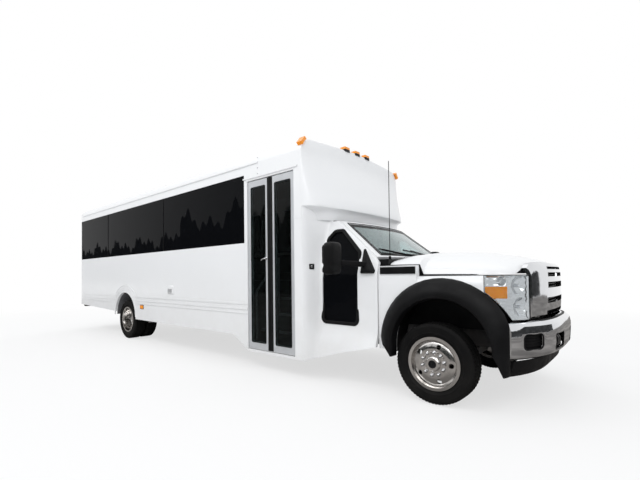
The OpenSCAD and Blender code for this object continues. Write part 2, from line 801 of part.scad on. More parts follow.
module front_bumper() {
    // Rows: height, setback
    rows = [[512, 75], [535, 30], [570, 8], [640, 0], [760, 0], [815, 12], [845, 48], [852, 85]];
    function net(t) = [for (r = rows) [for (j = [-14 : 14]) let (y = j * bumper_half / 14)
        [nose(y, front_overhang, 285, bumper_half, 3) - r[1] - t, y, r[0]]]];
    color("silver") {
        difference() {
            sheet(net(0), net(14));
            both() along_x(500, 1100) round_rect(690, 605, 905, 745, 40);
            both() along_x(500, 1100) round_rect(200, 570, 470, 720, 30);
        }
        box([frame_front + gap, -540, 600], [frame_front + 22, 540, 660]);
        both() box([frame_front + 10, 520, 610], [front_overhang - 48, 535, 650]);
    }
}

module air_dam() {
    rows = [[352, 60], [400, 20], [500, 0]];
    function net(t) = [for (r = rows) [for (j = [-12 : 12]) let (y = j * 930 / 12)
        [nose(y, front_overhang - 100, 190, 930, 3) - r[1] - t, y, r[0]]]];
    color([0.08, 0.08, 0.08]) {
        sheet(net(0), net(20));
        both() box([frame_front - 30, rail_out - 70, 480], [frame_front - 18, rail_out, rail_bottom - gap]);
    }
}

module headlamps() {
    c = [470, 690];
    r = 324;
    color("white") both() intersection() {
        translate([0, 0, 868]) linear_extrude(height = 408) intersection() {
            translate(c) circle(r, $fn = 128);
            translate([480, grille_half + 5]) square(400);
        }
        along_y(600, 1100) difference() {
            translate([400, 800]) square([600, 600]);
            translate([arch_c[0], arch_c[1] + 15]) circle(flare_out + 4, $fn = 128);
        }
    }
}

// Body

module floor_plan(d) {
    translate([body_rear + wall_t + 2, -wall_in + d]) square([-1642 - d - body_rear - wall_t, 2 * (wall_in - d)]);
}

module wheel_box() {
    c = [rear_x, arch_z];
    difference() {
        along_y(640, wall_in - gap) difference() {
            translate(c) circle(arch_r + 20, $fn = 128);
            translate([rear_x - 600, arch_z - 700]) square([1200, 700]);
        }
        along_y(660, wall_in) translate(c) circle(arch_r, $fn = 128);
    }
}

module floor() {
    color("dimgray") {
        difference() {
            translate([0, 0, floor_top - 60]) linear_extrude(height = 60) floor_plan(gap);
            box([door_rear - 25 - gap, -half_w, 800], [door_front + 25 + gap, -570 - gap, floor_top + 1]);
            both() along_y(640 - gap, half_w) translate([rear_x, arch_z]) circle(arch_r + 20 + gap, $fn = 128);
            // Joints between the boards, at both ends of the stepwell
            for (x = [door_rear - 25 - gap, door_front + 25])
                box([x, -half_w, 800], [x + gap, half_w, floor_top + 1]);
        }
    }
}

module wheel_boxes() {
    color("dimgray") both() wheel_box();
}

module floor_bearers() {
    top = floor_top - 60 - gap;
    color("dimgray") {
        both() box([frame_rear, rail_out - rail_w, rail_top], [-1700, rail_out, 800 - gap]);
        for (x = bearer_xs) box([x - 30, (x > door_rear - 60 ? -540 : -1100), 800], [x + 30, 1100, top]);
    }
}

module stepwell() {
    x0 = door_rear - 25;
    x1 = door_front + 25;
    low = floor_top - 3 * step_rise;
    // Tread edges from the door inward
    y0 = -(leaf_out - leaf_t - 15);
    ys = [y0, y0 + 175, y0 + 375, -570];
    stair = [[ys[0], low - 20], [ys[0], low], [ys[1], low], [ys[1], low + step_rise], [ys[2], low + step_rise],
             [ys[2], low + 2 * step_rise], [ys[3], low + 2 * step_rise], [ys[3], floor_top],
             [ys[3] + 15, floor_top - 61], [ys[3] + 15, low + 2 * step_rise - 20], [ys[2] + 15, low + 2 * step_rise - 20],
             [ys[2] + 15, low + step_rise - 20], [ys[1] + 15, low + step_rise - 20], [ys[1] + 15, low - 20]];
    color("gray") {
        along_x(x0, x1) difference() {
            polygon(stair);
            translate([ys[3] - gap, floor_top - 60 - gap]) square(200);
        }
        for (x = [x0, door_front]) along_x(x, x + 25)
            polygon([[-wall_in + gap, low - 20], [ys[1] + 15, low - 20], [ys[3] + 10, low + 2 * step_rise - 20],
                     [ys[3] + 10, floor_top - 60 - gap], [-wall_in + gap, floor_top - 60 - gap]]);
    }
}

// Window panes of one side: rear edge, front edge
panes_right = [[body_rear + rear_corner + 3, -7618], [-7612, -5066], [-5054, window_front]];
panes_left = concat(panes_right, [[window_front + 12, -1830]]);

module wall_panes(panes, grow) {
    for (p = panes) translate([p[0] - grow, window_low - grow])
        square([p[1] - p[0] + 2 * grow, window_high - window_low + 2 * grow]);
}

// Rub-rail mouldings that rise over the wheel arch, in X and Z
module mouldings(front) {
    c = [rear_x, arch_z];
    // Ribs: height, thickness, radius over the arch
    ribs = [[905, 26, arch_r + 145], [828, 20, arch_r + 95], [768, 18, arch_r + 50]];
    for (b = ribs) {
        difference() {
            translate([wall_rear, b[0] - b[1] / 2]) square([front - wall_rear, b[1]]);
            translate(c) circle(b[2], $fn = 128);
        }
        intersection() {
            difference() {
                translate(c) circle(b[2] + b[1], $fn = 128);
                translate(c) circle(b[2], $fn = 128);
            }
            translate([rear_x - 800, b[0] - b[1] / 2]) square([1600, 800]);
        }
    }
    intersection() {
        difference() {
            translate(c) circle(arch_r + 26, $fn = 128);
            translate(c) circle(arch_r, $fn = 128);
        }
        translate([rear_x - 800, arch_z]) square([1600, 800]);
    }
}

// Left wall with its panes, its lower front outline and the end of its mouldings
module wall(panes, front_low, rib_end) {
    difference() {
        union() {
            along_y(wall_in, half_w) polygon(concat(
                [[wall_rear, 622], [rear_x - arch_r, 560], [rear_x, 560], [rear_x + arch_r - 5, skirt_z]], front_low,
                [[body_front, 240], [body_front, eave_height], [wall_rear, eave_height]]));
            along_y(half_w - 5, half_w + 11) mouldings(rib_end);
        }
        along_y(wall_in - 1, half_w + 20) {
            translate([rear_x, arch_z]) circle(arch_r, $fn = 128);
            translate([rear_x - arch_r, 300]) square([2 * arch_r, arch_z - 300]);
            wall_panes([for (p = panes) [max(p[0], wall_rear + 60), p[1]]], -30);
        }
        along_y(half_w - 12, half_w + 1) wall_panes(panes, 1);
    }
}

module wall_right() {
    color("white") mirror([0, 1, 0]) difference() {
        union() {
            wall(panes_right, [[-2972, skirt_z], [door_rear, 242]], door_rear - 8);
            box([door_rear - 74, half_w - 5, 2672], [door_front + 71, half_w + 16, 2690]);
        }
        box([door_rear, wall_in - 1, door_low], [door_front, half_w + 40, door_high]);
        for (x = leaf_pins) translate([x, leaf_pin_y, door_low - 22]) cylinder(r = leaf_pin_r + 0.3, h = door_high - door_low + 54);
        box([body_front - 125, half_w - 3, 2011], [body_front + 1, half_w + 1, 2015]);
    }
}

module wall_left() {
    color("white") wall(panes_left, [[-1950, skirt_z], [-1720, 240]], -1760);
}

module rear_lid(d) {
    top = rear_round - d;
    side = d > 0 ? 2 : rear_corner;
    x = body_rear + d;
    crest = crown_z + crown_r - d;
    intersection() {
        along_x(x, wall_rear - (d > 0 ? -1 : gap)) body_section(d, rear_skirt_z - (d > 0 ? 5 : 0));
        along_y(-2000, 2000) union() {
            translate([x + top, 0]) square([1000, crest]);
            translate([x, 0]) square([1000, crest - top]);
            translate([x + top, crest - top]) circle(top);
        }
        linear_extrude(height = 4000) union() {
            translate([x + side, d - half_w]) square([1000, 2 * (half_w - d)]);
            translate([x, d + side - half_w]) square([1000, 2 * (half_w - d - side)]);
            for (s = [-1, 1]) translate([x + side, s * (half_w - d - side)]) circle(side);
        }
    }
}

rear_glass = [-620, 1780, 620, 2500];

module rear_wall() {
    g = rear_glass;
    color("white") difference() {
        rear_lid(0);
        rear_lid(wall_t);
        along_x(body_rear - 1, body_rear + 100) round_rect(g[0] + 30, g[1] + 30, g[2] - 30, g[3] - 30, 60);
        along_x(body_rear - 1, body_rear + 12) round_rect(g[0] - 1, g[1] - 1, g[2] + 1, g[3] + 1, 80);
        both() along_y(half_w - 12, half_w + 1) wall_panes([panes_right[0]], 1);
    }
}

module roof() {
    color("white") {
        along_x(wall_rear, body_front) difference() {
            body_section(0, eave_height);
            body_section(wall_t, eave_height - 1);
        }
        both() box([wall_rear, half_w - 5, eave_height], [-2400, half_w + 15, eave_height + 15]);
    }
}

// Front cap rows: half width, height, inner half width, inner height, X of the nose, inner X
cap_profile = [[2060, -1225], [2135, -1235], [2250, -1265], [2340, -1312], [2450, -1362], [2560, -1412],
               [2680, -1475], [2790, -1525], [eave_height, -1550], [2985, -1560], [3085, -1570]];
function cap_row(h, z, hi, zi, slope) = let (n = lookup(z, cap_profile)) [h, z, hi, zi, n, n - wall_t * slope];
cap_rows = concat(
    [[1060, 2000, 1020, 2030, -1215, -1235]],
    [for (z = [2060, 2135, 2250, 2340, 2450, 2560, 2680, 2790, eave_height])
        cap_row(half_w, z, wall_in, max(z, 2100), 1)],
    [for (a = [22, 44, 66, 84]) cap_row(crown_span + roof_corner * cos(a), eave_height + roof_corner * sin(a),
        crown_span + (roof_corner - wall_t) * cos(a), eave_height + (roof_corner - wall_t) * sin(a), cos(a) + 0.1)],
    [for (y = [850, 600, 350, 120, 2]) let (z = crown_z + sqrt(crown_r * crown_r - y * y))
        cap_row(y, z, y, z - wall_t, 0.1)]);

function cap_curve(h, z, x) = [for (a = [-90 : 6 : 90])
    [body_front + (x - body_front) * cos(a), h * sin(a), z]];

module front_cap() {
    color("white") sheet([for (r = cap_rows) cap_curve(r[0], r[1], r[4])],
                         [for (r = cap_rows) cap_curve(r[2], r[3], r[5])]);
}

module tinted_windows() {
    g = rear_glass;
    color([0.05, 0.05, 0.06]) {
        along_y(half_w - 12 + gap, half_w - 12 + gap + glass_t) wall_panes(panes_left, 0);
        mirror([0, 1, 0]) along_y(half_w - 12 + gap, half_w - 12 + gap + glass_t) wall_panes(panes_right, 0);
        along_x(body_rear + 12 - gap - glass_t, body_rear + 12 - gap) round_rect(g[0], g[1], g[2], g[3], 79);
        mirror([0, 1, 0]) intersection() {
            cab_plate(14, 14 + glass_t);
            along_y(600, 1400) offset(delta = -gap) polygon(rounded(vision_outline, 60));
        }
    }
}

module leaf_outline(x0, x1, d) {
    round_rect(x0 + d, door_low + 10 + d, x1 - d, door_high - 10 - d, 12);
}

leaf_out = half_w - 14;
leaf_mid = (door_rear + door_front) / 2;
// Each leaf: hinge edge, meeting edge
leaf_edges = [[door_rear + 12, leaf_mid - 5], [door_front - 12, leaf_mid + 5]];

// Pivots of the leaves: stations, distance from the middle, radius
leaf_pins = [door_rear + 24, door_front - 24];
leaf_pin_y = leaf_out - 12;
leaf_pin_r = 8;

module leaf(edge) {
    x0 = min(edge[0], edge[1]);
    x1 = max(edge[0], edge[1]);
    g0 = edge[0] < edge[1] ? x0 + 58 : x0 + 88;
    g1 = edge[0] < edge[1] ? x1 - 88 : x1 - 58;
    color("silver") difference() {
        along_y(-leaf_out, -leaf_out + leaf_t) leaf_outline(x0, x1, 0);
        along_y(-leaf_out - 1, -leaf_out + leaf_t + 1) round_rect(g0 + 12, 385, g1 - 12, 2530, 12);
        along_y(-leaf_out - 1, -leaf_out + 10) round_rect(g0, 373, g1, 2542, 20);
    }
    color("silver") for (z = [door_low - 20, door_high - 40])
        translate([edge[0] < edge[1] ? leaf_pins[0] : leaf_pins[1], -leaf_pin_y, z]) cylinder(r = leaf_pin_r, h = 70);
}

module leaf_glass(edge) {
    x0 = min(edge[0], edge[1]);
    x1 = max(edge[0], edge[1]);
    g0 = edge[0] < edge[1] ? x0 + 58 : x0 + 88;
    g1 = edge[0] < edge[1] ? x1 - 88 : x1 - 58;
    color([0.1, 0.1, 0.1]) along_y(-leaf_out + 9.5 - glass_t, -leaf_out + 9.5)
        round_rect(g0 + gap, 373 + gap, g1 - gap, 2542 - gap, 20);
}

module bench_seats() {
    x0 = body_rear + wall_t + 2;
    // Side bench: base, cushion and back in Y and Z
    module side() {
        translate([700, floor_top]) square([wall_in - gap - 700, 240]);
        translate([655, 1195]) square([wall_in - gap - 655, 175]);
        translate([wall_in - 120, 1360]) square([120 - gap, 380]);
    }
    color("black") difference() {
        union() {
            along_x(x0, -2950) side();
            mirror([0, 1, 0]) along_x(x0, -3150) side();
            box([x0, -wall_in + gap, floor_top], [x0 + 430, wall_in - gap, 1200]);
            box([x0, -wall_in + gap, 1195], [x0 + 480, wall_in - gap, 1370]);
            box([x0, -wall_in + gap, 1360], [x0 + 120, wall_in - gap, 1740]);
        }
        both() along_y(630, half_w) translate([rear_x, arch_z]) circle(arch_r + 21, $fn = 128);
    }
}

module grab_rails() {
    low = floor_top - 3 * step_rise;
    // Points of a rail: distance from the middle, height
    route = [[-1085, low], [-1085, 1080], [-640, 1560], [-640, low + 2 * step_rise]];
    color("silver") for (x = [door_rear + 40, door_front - 40]) {
        for (i = [0 : 2]) rod([x, route[i][0], route[i][1]], [x, route[i + 1][0], route[i + 1][1]], 16);
        for (i = [1, 2]) translate([x, route[i][0], route[i][1]]) sphere(16);
    }
}

module rear_bumper() {
    color([0.1, 0.1, 0.1]) {
        along_x(rear_face, rear_face + 45) round_rect(-1130, 560, 1130, 720, 30);
        both() box([rear_face + 40, rail_out - 60, 560], [frame_rear - gap, rail_out, 615]);
    }
}

module tail_lamps() {
    // Height and radius of the round lamps on each side
    lamps = [[900, 60], [1045, 60], [1190, 60]];
    color("red") {
        both() for (l = lamps) translate([body_rear - gap, 1010, l[0]]) rotate([0, -90, 0]) cylinder(r = l[1], h = 18);
        for (y = [-950, -260, 0, 260, 950]) box([body_rear - 18, y - 50, 2720], [body_rear - gap, y + 50, 2755]);
    }
}

module marker_lamps() {
    color("orange") {
        difference() {
            union() {
                for (y = [-260, 0, 260]) box([-1650, y - 55, 3040], [-1562, y + 55, roof_flat + roof_crown + 42]);
                both() translate([-1650, crown_span, eave_height]) rotate([40, 0, 0])
                    translate([0, 120, -52]) cube([88, roof_corner - 120 + 38, 104]);
            }
            along_x(-3000, -1000) body_section(-gap, 2000);
        }
        both() box([-5985, half_w + gap, 676], [-5865, half_w + 14, 736]);
    }
}

placed() chassis_frame();
placed() engine();
placed() radiator();
placed() front_axle();
placed() springs();
placed() rear_axle();
placed() exhaust();
placed() fuel_tank();
placed() cab_floor();
placed() windshield_frame();
placed() cab_side_right();
placed() cab_side_left();
placed() dashboard();
placed() driver_seat();
placed() fenders();
placed() flares();
placed() wheel_liners();
placed() grille();
placed() front_bumper();
placed() air_dam();
placed() headlamps();
placed() cowl();
placed() windshield();
placed() mirror([0, 1, 0]) mirror_solid();  // mirror_right
placed() floor();
placed() wheel_boxes();
placed() floor_bearers();
placed() stepwell();
placed() wall_right();
placed() wall_left();
placed() rear_wall();
placed() roof();
placed() front_cap();
placed() tinted_windows();
placed() bench_seats();
placed() grab_rails();
placed() rear_bumper();
placed() tail_lamps();
placed() marker_lamps();
placed() tow_eyes();
placed() hood();
placed() driver_door();
placed() driver_glass();
placed() mirror_solid();  // mirror_left
placed() leaf(leaf_edges[0]);  // leaf_rear
placed() leaf_glass(leaf_edges[0]);  // leaf_rear_glass
placed() leaf(leaf_edges[1]);  // leaf_front
placed() leaf_glass(leaf_edges[1]);  // leaf_front_glass
placed() knuckle();  // knuckle_left
placed() mirror([0, 1, 0]) knuckle();  // knuckle_right
placed() tie_rod();
placed() tyre_front();  // tyre_front_left
placed() rim_front();  // rim_front_left
placed() mirror([0, 1, 0]) tyre_front();  // tyre_front_right
placed() mirror([0, 1, 0]) rim_front();  // rim_front_right
placed() tyres_rear();  // tyres_rear_left
placed() rims_rear();  // rims_rear_left
placed() mirror([0, 1, 0]) tyres_rear();  // tyres_rear_right
placed() mirror([0, 1, 0]) rims_rear();  // rims_rear_right
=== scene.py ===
"""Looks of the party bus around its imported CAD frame. Stations are millimetres from the front axle."""
import json
import math

import bmesh
import bpy
from mathutils import Matrix, Vector


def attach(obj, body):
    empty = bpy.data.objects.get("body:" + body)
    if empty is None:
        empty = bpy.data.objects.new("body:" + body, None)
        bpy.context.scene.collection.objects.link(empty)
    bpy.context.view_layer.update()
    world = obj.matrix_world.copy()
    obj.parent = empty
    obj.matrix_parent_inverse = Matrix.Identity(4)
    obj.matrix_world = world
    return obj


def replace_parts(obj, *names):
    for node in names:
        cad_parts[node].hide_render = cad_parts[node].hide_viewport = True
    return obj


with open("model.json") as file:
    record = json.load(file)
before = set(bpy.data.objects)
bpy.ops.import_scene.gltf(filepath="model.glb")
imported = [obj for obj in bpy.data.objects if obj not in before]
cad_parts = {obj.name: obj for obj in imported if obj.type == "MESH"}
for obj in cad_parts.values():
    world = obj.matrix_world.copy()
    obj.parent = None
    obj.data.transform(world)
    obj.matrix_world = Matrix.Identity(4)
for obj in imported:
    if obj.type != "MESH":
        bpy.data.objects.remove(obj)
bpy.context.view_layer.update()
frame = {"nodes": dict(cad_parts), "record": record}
NODES = frame["nodes"]

# The front axle's place in the row frame, in metres
AXLE_X = 4.215

# Sizes that the part's source has too
AXLE_Z, REAR_AXLE = 403, -6700
FRONT_TRACK, REAR_TRACK, TWIN_GAP = 950, 940, 254
HALF_W, CAB_HALF = 1219, 1030
BODY_FRONT, BODY_REAR = -1600, -9355
CORNER_RUN = 170
CORNER_X = BODY_FRONT + CORNER_RUN
WINDOW_LOW, WINDOW_HIGH = 1771, 2745
RIGHT, LEFT = -1, 1
SIDES = ((LEFT, "left"), (RIGHT, "right"))


def P(x, y, z):
    """A point given by station, side and height in millimetres, in the row frame."""
    return Vector((AXLE_X + x / 1000, y / 1000, z / 1000))


def mix(a, b, t):
    return a + (b - a) * t


def smooth(t):
    t = max(0.0, min(1.0, t))
    return t * t * (3 - 2 * t)


def cab_y(x, z):
    """Half width of the cab side, as the CAD has it."""
    lean = max(0, z - 1300) * 0.29
    sill = smooth((690 - z) / 280) * 70
    return mix(CAB_HALF - lean + sill, HALF_W, smooth((CORNER_X - x) / CORNER_RUN))


SCREEN_NORMAL = Vector((0.614, 0, 0.789))
SCREEN_HALF = 850


def screen(u, v, out=0):
    """Windshield surface: u across, v from base to top, moved out along its normal."""
    low = Vector((-560 - 110 * u * u, SCREEN_HALF * u, 1500))
    high = Vector((-1190 - 90 * u * u, 720 * u, 1985))
    p = low.lerp(high, v) + SCREEN_NORMAL * out
    return P(*p)


# Materials


class Shader:
    """A principled material with a few procedural layers."""

    def __init__(self, name, base, rough, metal=0.0, **inputs):
        self.mat = bpy.data.materials.new(name)
        self.mat.use_nodes = True
        self.tree = self.mat.node_tree
        self.bsdf = self.tree.nodes["Principled BSDF"]
        self.coords = self.tree.nodes.new("ShaderNodeTexCoord")
        self.set("Base Color", (*base, 1))
        self.set("Roughness", rough)
        self.set("Metallic", metal)
        for key, value in inputs.items():
            self.set(key.replace("_", " "), value)
        self.base, self.rough, self.height = base, rough, None

    def set(self, socket, value):
        self.bsdf.inputs[socket].default_value = value

    def node(self, kind, **values):
        n = self.tree.nodes.new(kind)
        for key, value in values.items():
            if key in n.inputs:
                n.inputs[key].default_value = value
            else:
                setattr(n, key, value)
        return n

    def link(self, a, b):
        self.tree.links.new(a, b)

    def noise(self, scale, detail=4.0, stretch=(1, 1, 1)):
        m = self.node("ShaderNodeMapping")
        m.inputs["Scale"].default_value = stretch
        self.link(self.coords.outputs["Object"], m.inputs["Vector"])
        n = self.node("ShaderNodeTexNoise", Scale=scale, Detail=detail)
        self.link(m.outputs["Vector"], n.inputs["Vector"])
        return n.outputs["Fac"]

    def ramp(self, fac, low, high, a, b):
        r = self.node("ShaderNodeMapRange")
        for key, value in (("From Min", low), ("From Max", high), ("To Min", a), ("To Max", b)):
            r.inputs[key].default_value = value
        self.link(fac, r.inputs["Value"])
        return r.outputs["Result"]

    def tint(self, fac, other):
        """Blend the base colour to another by a factor."""
        m = self.node("ShaderNodeMix", data_type="RGBA")
        now = self.bsdf.inputs["Base Color"]
        m.inputs[6].default_value = (*self.base, 1)
        m.inputs[7].default_value = (*other, 1)
        if now.is_linked:
            self.link(now.links[0].from_socket, m.inputs[6])
        self.link(fac, m.inputs[0])
        self.link(m.outputs[2], now)
        return self

    def vary(self, scale, other, low=0.4, high=0.65, amount=1.0, stretch=(1, 1, 1)):
        return self.tint(self.ramp(self.noise(scale, 5, stretch), low, high, 0, amount), other)

    def worn(self, scale, spread, stretch=(1, 1, 1)):
        """Vary the roughness."""
        r = self.ramp(self.noise(scale, 4, stretch), 0.35, 0.65, self.rough - spread, self.rough + spread)
        self.link(r, self.bsdf.inputs["Roughness"])
        return self

    def bump(self, fac, strength, distance=0.002):
        b = self.node("ShaderNodeBump", Strength=strength, Distance=distance)
        self.link(fac, b.inputs["Height"])
        if self.height is not None:
            self.link(self.height, b.inputs["Normal"])
        self.height = b.outputs["Normal"]
        self.link(self.height, self.bsdf.inputs["Normal"])
        return self

    def grain(self, scale, strength, distance=0.001, stretch=(1, 1, 1)):
        return self.bump(self.noise(scale, 3, stretch), strength, distance)

    def low_tint(self, top, other, amount):
        """A tint towards another colour, strongest low down and fading out with height."""
        s = self.node("ShaderNodeSeparateXYZ")
        self.link(self.coords.outputs["Object"], s.inputs["Vector"])
        fade = self.ramp(s.outputs["Z"], 0.15, top, amount, 0.0)
        m = self.node("ShaderNodeMath", operation="MULTIPLY")
        self.link(fade, m.inputs[0])
        self.link(self.ramp(self.noise(5, 6), 0.3, 0.7, 0.3, 1.0), m.inputs[1])
        return self.tint(m.outputs[0], other)

    def wave(self, scale, axis="X", profile="SIN"):
        w = self.node("ShaderNodeTexWave", Scale=scale, bands_direction=axis, wave_profile=profile)
        self.link(self.coords.outputs["Object"], w.inputs["Vector"])
        return w.outputs["Fac"]

    def cells(self, scale):
        v = self.node("ShaderNodeTexVoronoi", Scale=scale)
        self.link(self.coords.outputs["Object"], v.inputs["Vector"])
        return v.outputs["Distance"]


def paint(name, base, low_colour):
    s = Shader(name, base, 0.3, Coat_Weight=0.35, Coat_Roughness=0.08)
    s.vary(0.9, tuple(c * 0.985 for c in base), 0.35, 0.7, 0.6)
    # Towards the bottom the colour blends to the low colour, so the white paint turns darker there and the
    # black paint lighter.
    s.low_tint(1.5, low_colour, 0.45).worn(3, 0.02).grain(700, 0.02)
    return s.mat


def moulded(name, base, rough=0.5, grain=0.25):
    s = Shader(name, base, rough, Specular_IOR_Level=0.14)
    s.vary(6, tuple(c * 1.5 + 0.001 for c in base), 0.4, 0.7, 0.7)
    s.worn(9, 0.08).grain(900, grain, 0.0008)
    return s.mat


def metal(name, base, rough, spread=0.05, brushed=(1, 1, 1)):
    s = Shader(name, base, rough, 1.0)
    s.vary(4, tuple(c * 0.86 for c in base), 0.4, 0.7, 0.6)
    s.worn(40, spread, brushed).grain(260, 0.03, 0.0005, brushed)
    return s.mat


def lens(name, base, rough=0.12, ribs=0.25):
    s = Shader(name, base, rough, Transmission_Weight=0.05, IOR=1.45, Coat_Weight=0.3)
    s.vary(30, tuple(min(1, c * 1.25) for c in base), 0.4, 0.7, 0.6)
    s.bump(s.wave(90, "X"), ribs, 0.002).bump(s.wave(90, "Z"), ribs, 0.002)
    return s.mat


def glass(name, base, weight, rough=0.01, specular=0.5, ior=1.3):
    s = Shader(name, base, rough, Transmission_Weight=weight, IOR=ior, Specular_IOR_Level=specular)
    s.vary(2.5, tuple(c * 0.8 for c in base), 0.35, 0.7, 0.6)
    s.worn(1.5, 0.008)
    return s.mat


def hide(name, base):
    s = Shader(name, base, 0.42, Specular_IOR_Level=0.45)
    s.vary(14, tuple(c * 1.6 for c in base), 0.4, 0.7, 0.6).worn(25, 0.08)
    s.bump(s.cells(320), 0.25, 0.0012).grain(60, 0.15, 0.002)
    return s.mat


def vinyl(name, base, fleck):
    s = Shader(name, base, 0.6)
    s.vary(220, fleck, 0.58, 0.64, 0.7).worn(12, 0.1).grain(400, 0.2)
    return s.mat


def tyre_rubber():
    s = Shader("tyre_rubber", (0.004, 0.004, 0.0042), 0.66, Specular_IOR_Level=0.12)
    s.vary(9, (0.008, 0.0075, 0.007), 0.4, 0.7, 0.8)
    s.low_tint(0.6, (0.05, 0.045, 0.04), 0.14).grain(500, 0.25)
    return s.mat


MATERIALS = {
    # The white paint's low colour makes it darker towards the bottom.
    "white": paint("gloss_white_paint", (0.83, 0.835, 0.84), (0.7, 0.685, 0.66)),
    "black_paint": paint("chassis_black_paint", (0.018, 0.018, 0.02), (0.12, 0.11, 0.1)),
    "cast": metal("cast_iron_grey", (0.22, 0.22, 0.225), 0.62, 0.1),
    "steel": metal("brushed_stainless", (0.58, 0.58, 0.6), 0.3, 0.08, (1, 1, 12)),
    "chrome": metal("bright_chrome", (0.70, 0.71, 0.73), 0.07, 0.03),
    "polished": metal("polished_wheel", (0.74, 0.725, 0.71), 0.16, 0.05),
    "aluminium": Shader("satin_aluminium", (0.62, 0.635, 0.65), 0.42, 0.35).vary(3, (0.56, 0.57, 0.59))
    .worn(60, 0.06, (1, 1, 0.05)).grain(300, 0.04, 0.0005, (1, 1, 0.02)).mat,
    "plastic": moulded("grained_black_plastic", (0.0045, 0.0045, 0.005), 0.5),
    "satin_black": moulded("satin_black_plastic", (0.008, 0.008, 0.0085), 0.34, 0.05),
    "cabin": moulded("dark_cabin_plastic", (0.05, 0.05, 0.053), 0.55),
    "rubber": moulded("black_rubber", (0.006, 0.006, 0.0065), 0.62, 0.1),
    "vinyl": vinyl("speckled_floor_vinyl", (0.12, 0.12, 0.125), (0.26, 0.26, 0.27)),
    "hide": hide("black_upholstery", (0.026, 0.026, 0.028)),
    "clear": glass("clear_lens", (0.93, 0.95, 0.96), 1.0),
    "amber": lens("amber_lens", (1.0, 0.31, 0.006)),
    "red": lens("red_lens", (0.62, 0.02, 0.015)),
    "screen": glass("windshield_glass", (0.60, 0.74, 0.74), 0.8),
    "tint": glass("dark_tinted_glass", (0.006, 0.0065, 0.008), 0.4, 0.015, 0.1, 1.16),
    "door_glass": glass("tinted_door_glass", (0.2, 0.235, 0.235), 1.0, 0.01, 0.15, 1.2),
    "tyre": tyre_rubber(),
    "mirror": metal("mirror_silver", (0.86, 0.87, 0.88), 0.02, 0.01),
    "reflector": metal("lamp_reflector", (0.66, 0.67, 0.68), 0.12, 0.05),
    "dark_metal": metal("dark_steel", (0.08, 0.08, 0.085), 0.4, 0.1),
}

BY_SLOT = {
    "white_paint": "white", "frame_black": "black_paint", "grey_metal": "cast", "steel": "steel",
    "chrome": "chrome", "aluminium": "aluminium", "black_plastic": "plastic", "interior": "cabin",
    "floor_grey": "vinyl", "upholstery": "hide", "clear_lens": "clear", "amber_lens": "amber",
    "red_lens": "red", "clear_glass": "screen", "tinted_glass": "tint", "tyre": "tyre",
}
SPECIAL = {
    "rim_front_left": "polished", "rim_front_right": "polished", "rims_rear_left": "polished",
    "rims_rear_right": "polished", "leaf_rear_glass": "door_glass", "leaf_front_glass": "door_glass",
    "radiator": "dark_metal", "exhaust": "steel",
}


def smoothing_group():
    """A node group that shades smooth except across edges sharper than an angle."""
    g = bpy.data.node_groups.new("smooth_by_angle", "GeometryNodeTree")
    g.interface.new_socket("Geometry", in_out="INPUT", socket_type="NodeSocketGeometry")
    a = g.interface.new_socket("Angle", in_out="INPUT", socket_type="NodeSocketFloat")
    a.default_value = math.radians(34)
    g.interface.new_socket("Geometry", in_out="OUTPUT", socket_type="NodeSocketGeometry")
    start, end = g.nodes.new("NodeGroupInput"), g.nodes.new("NodeGroupOutput")
    edge = g.nodes.new("GeometryNodeInputMeshEdgeAngle")
    test = g.nodes.new("FunctionNodeCompare")
    test.data_type, test.operation = "FLOAT", "GREATER_THAN"
    faces, edges = (g.nodes.new("GeometryNodeSetShadeSmooth") for _ in range(2))
    faces.domain, edges.domain = "FACE", "EDGE"
    edges.inputs["Shade Smooth"].default_value = False
    g.links.new(start.outputs["Geometry"], faces.inputs["Geometry"])
    g.links.new(faces.outputs["Geometry"], edges.inputs["Geometry"])
    g.links.new(edge.outputs["Unsigned Angle"], test.inputs[0])
    g.links.new(start.outputs["Angle"], test.inputs[1])
    g.links.new(test.outputs["Result"], edges.inputs["Selection"])
    g.links.new(edges.outputs["Geometry"], end.inputs["Geometry"])
    return g


SMOOTH = smoothing_group()


def smooth_by_angle(obj, weld=False):
    if weld:
        obj.modifiers.new("weld", "WELD").merge_threshold = 0.00002
    obj.modifiers.new("smooth", "NODES").node_group = SMOOTH


def dress_cad():
    """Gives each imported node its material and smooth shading."""
    slots = {s["node"]: s["material_slot"] for s in frame["record"]["subparts"]}
    for name, obj in NODES.items():
        obj.data.materials.clear()
        obj.data.materials.append(MATERIALS[SPECIAL.get(name, BY_SLOT[slots[name]])])
        if "custom_normal" in obj.data.attributes:
            obj.data.attributes.remove(obj.data.attributes["custom_normal"])
        smooth_by_angle(obj, weld=True)


# Mesh helpers


def add_object(name, data):
    obj = bpy.data.objects.new(name, data)
    bpy.context.scene.collection.objects.link(obj)
    return obj


def piece(name, verts, faces, body, mat, bevel=0.0, segments=2):
    """A mesh that rides on a body, with a material."""
    mesh = bpy.data.meshes.new(name)
    mesh.from_pydata([tuple(v) for v in verts], [], faces)
    bm = bmesh.new()
    bm.from_mesh(mesh)
    bmesh.ops.remove_doubles(bm, verts=bm.verts, dist=1e-6)
    bmesh.ops.recalc_face_normals(bm, faces=bm.faces)
    bm.to_mesh(mesh)
    bm.free()
    obj = add_object(name, mesh)
    mesh.materials.append(MATERIALS[mat])
    if bevel:
        b = obj.modifiers.new("bevel", "BEVEL")
        b.width, b.segments = bevel / 1000, segments
        b.limit_method, b.angle_limit = "ANGLE", math.radians(30)
    smooth_by_angle(obj)
    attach(obj, body)
    return obj


def angles(n):
    """Angles of n points round a circle."""
    return [2 * math.pi * k / n for k in range(n)]


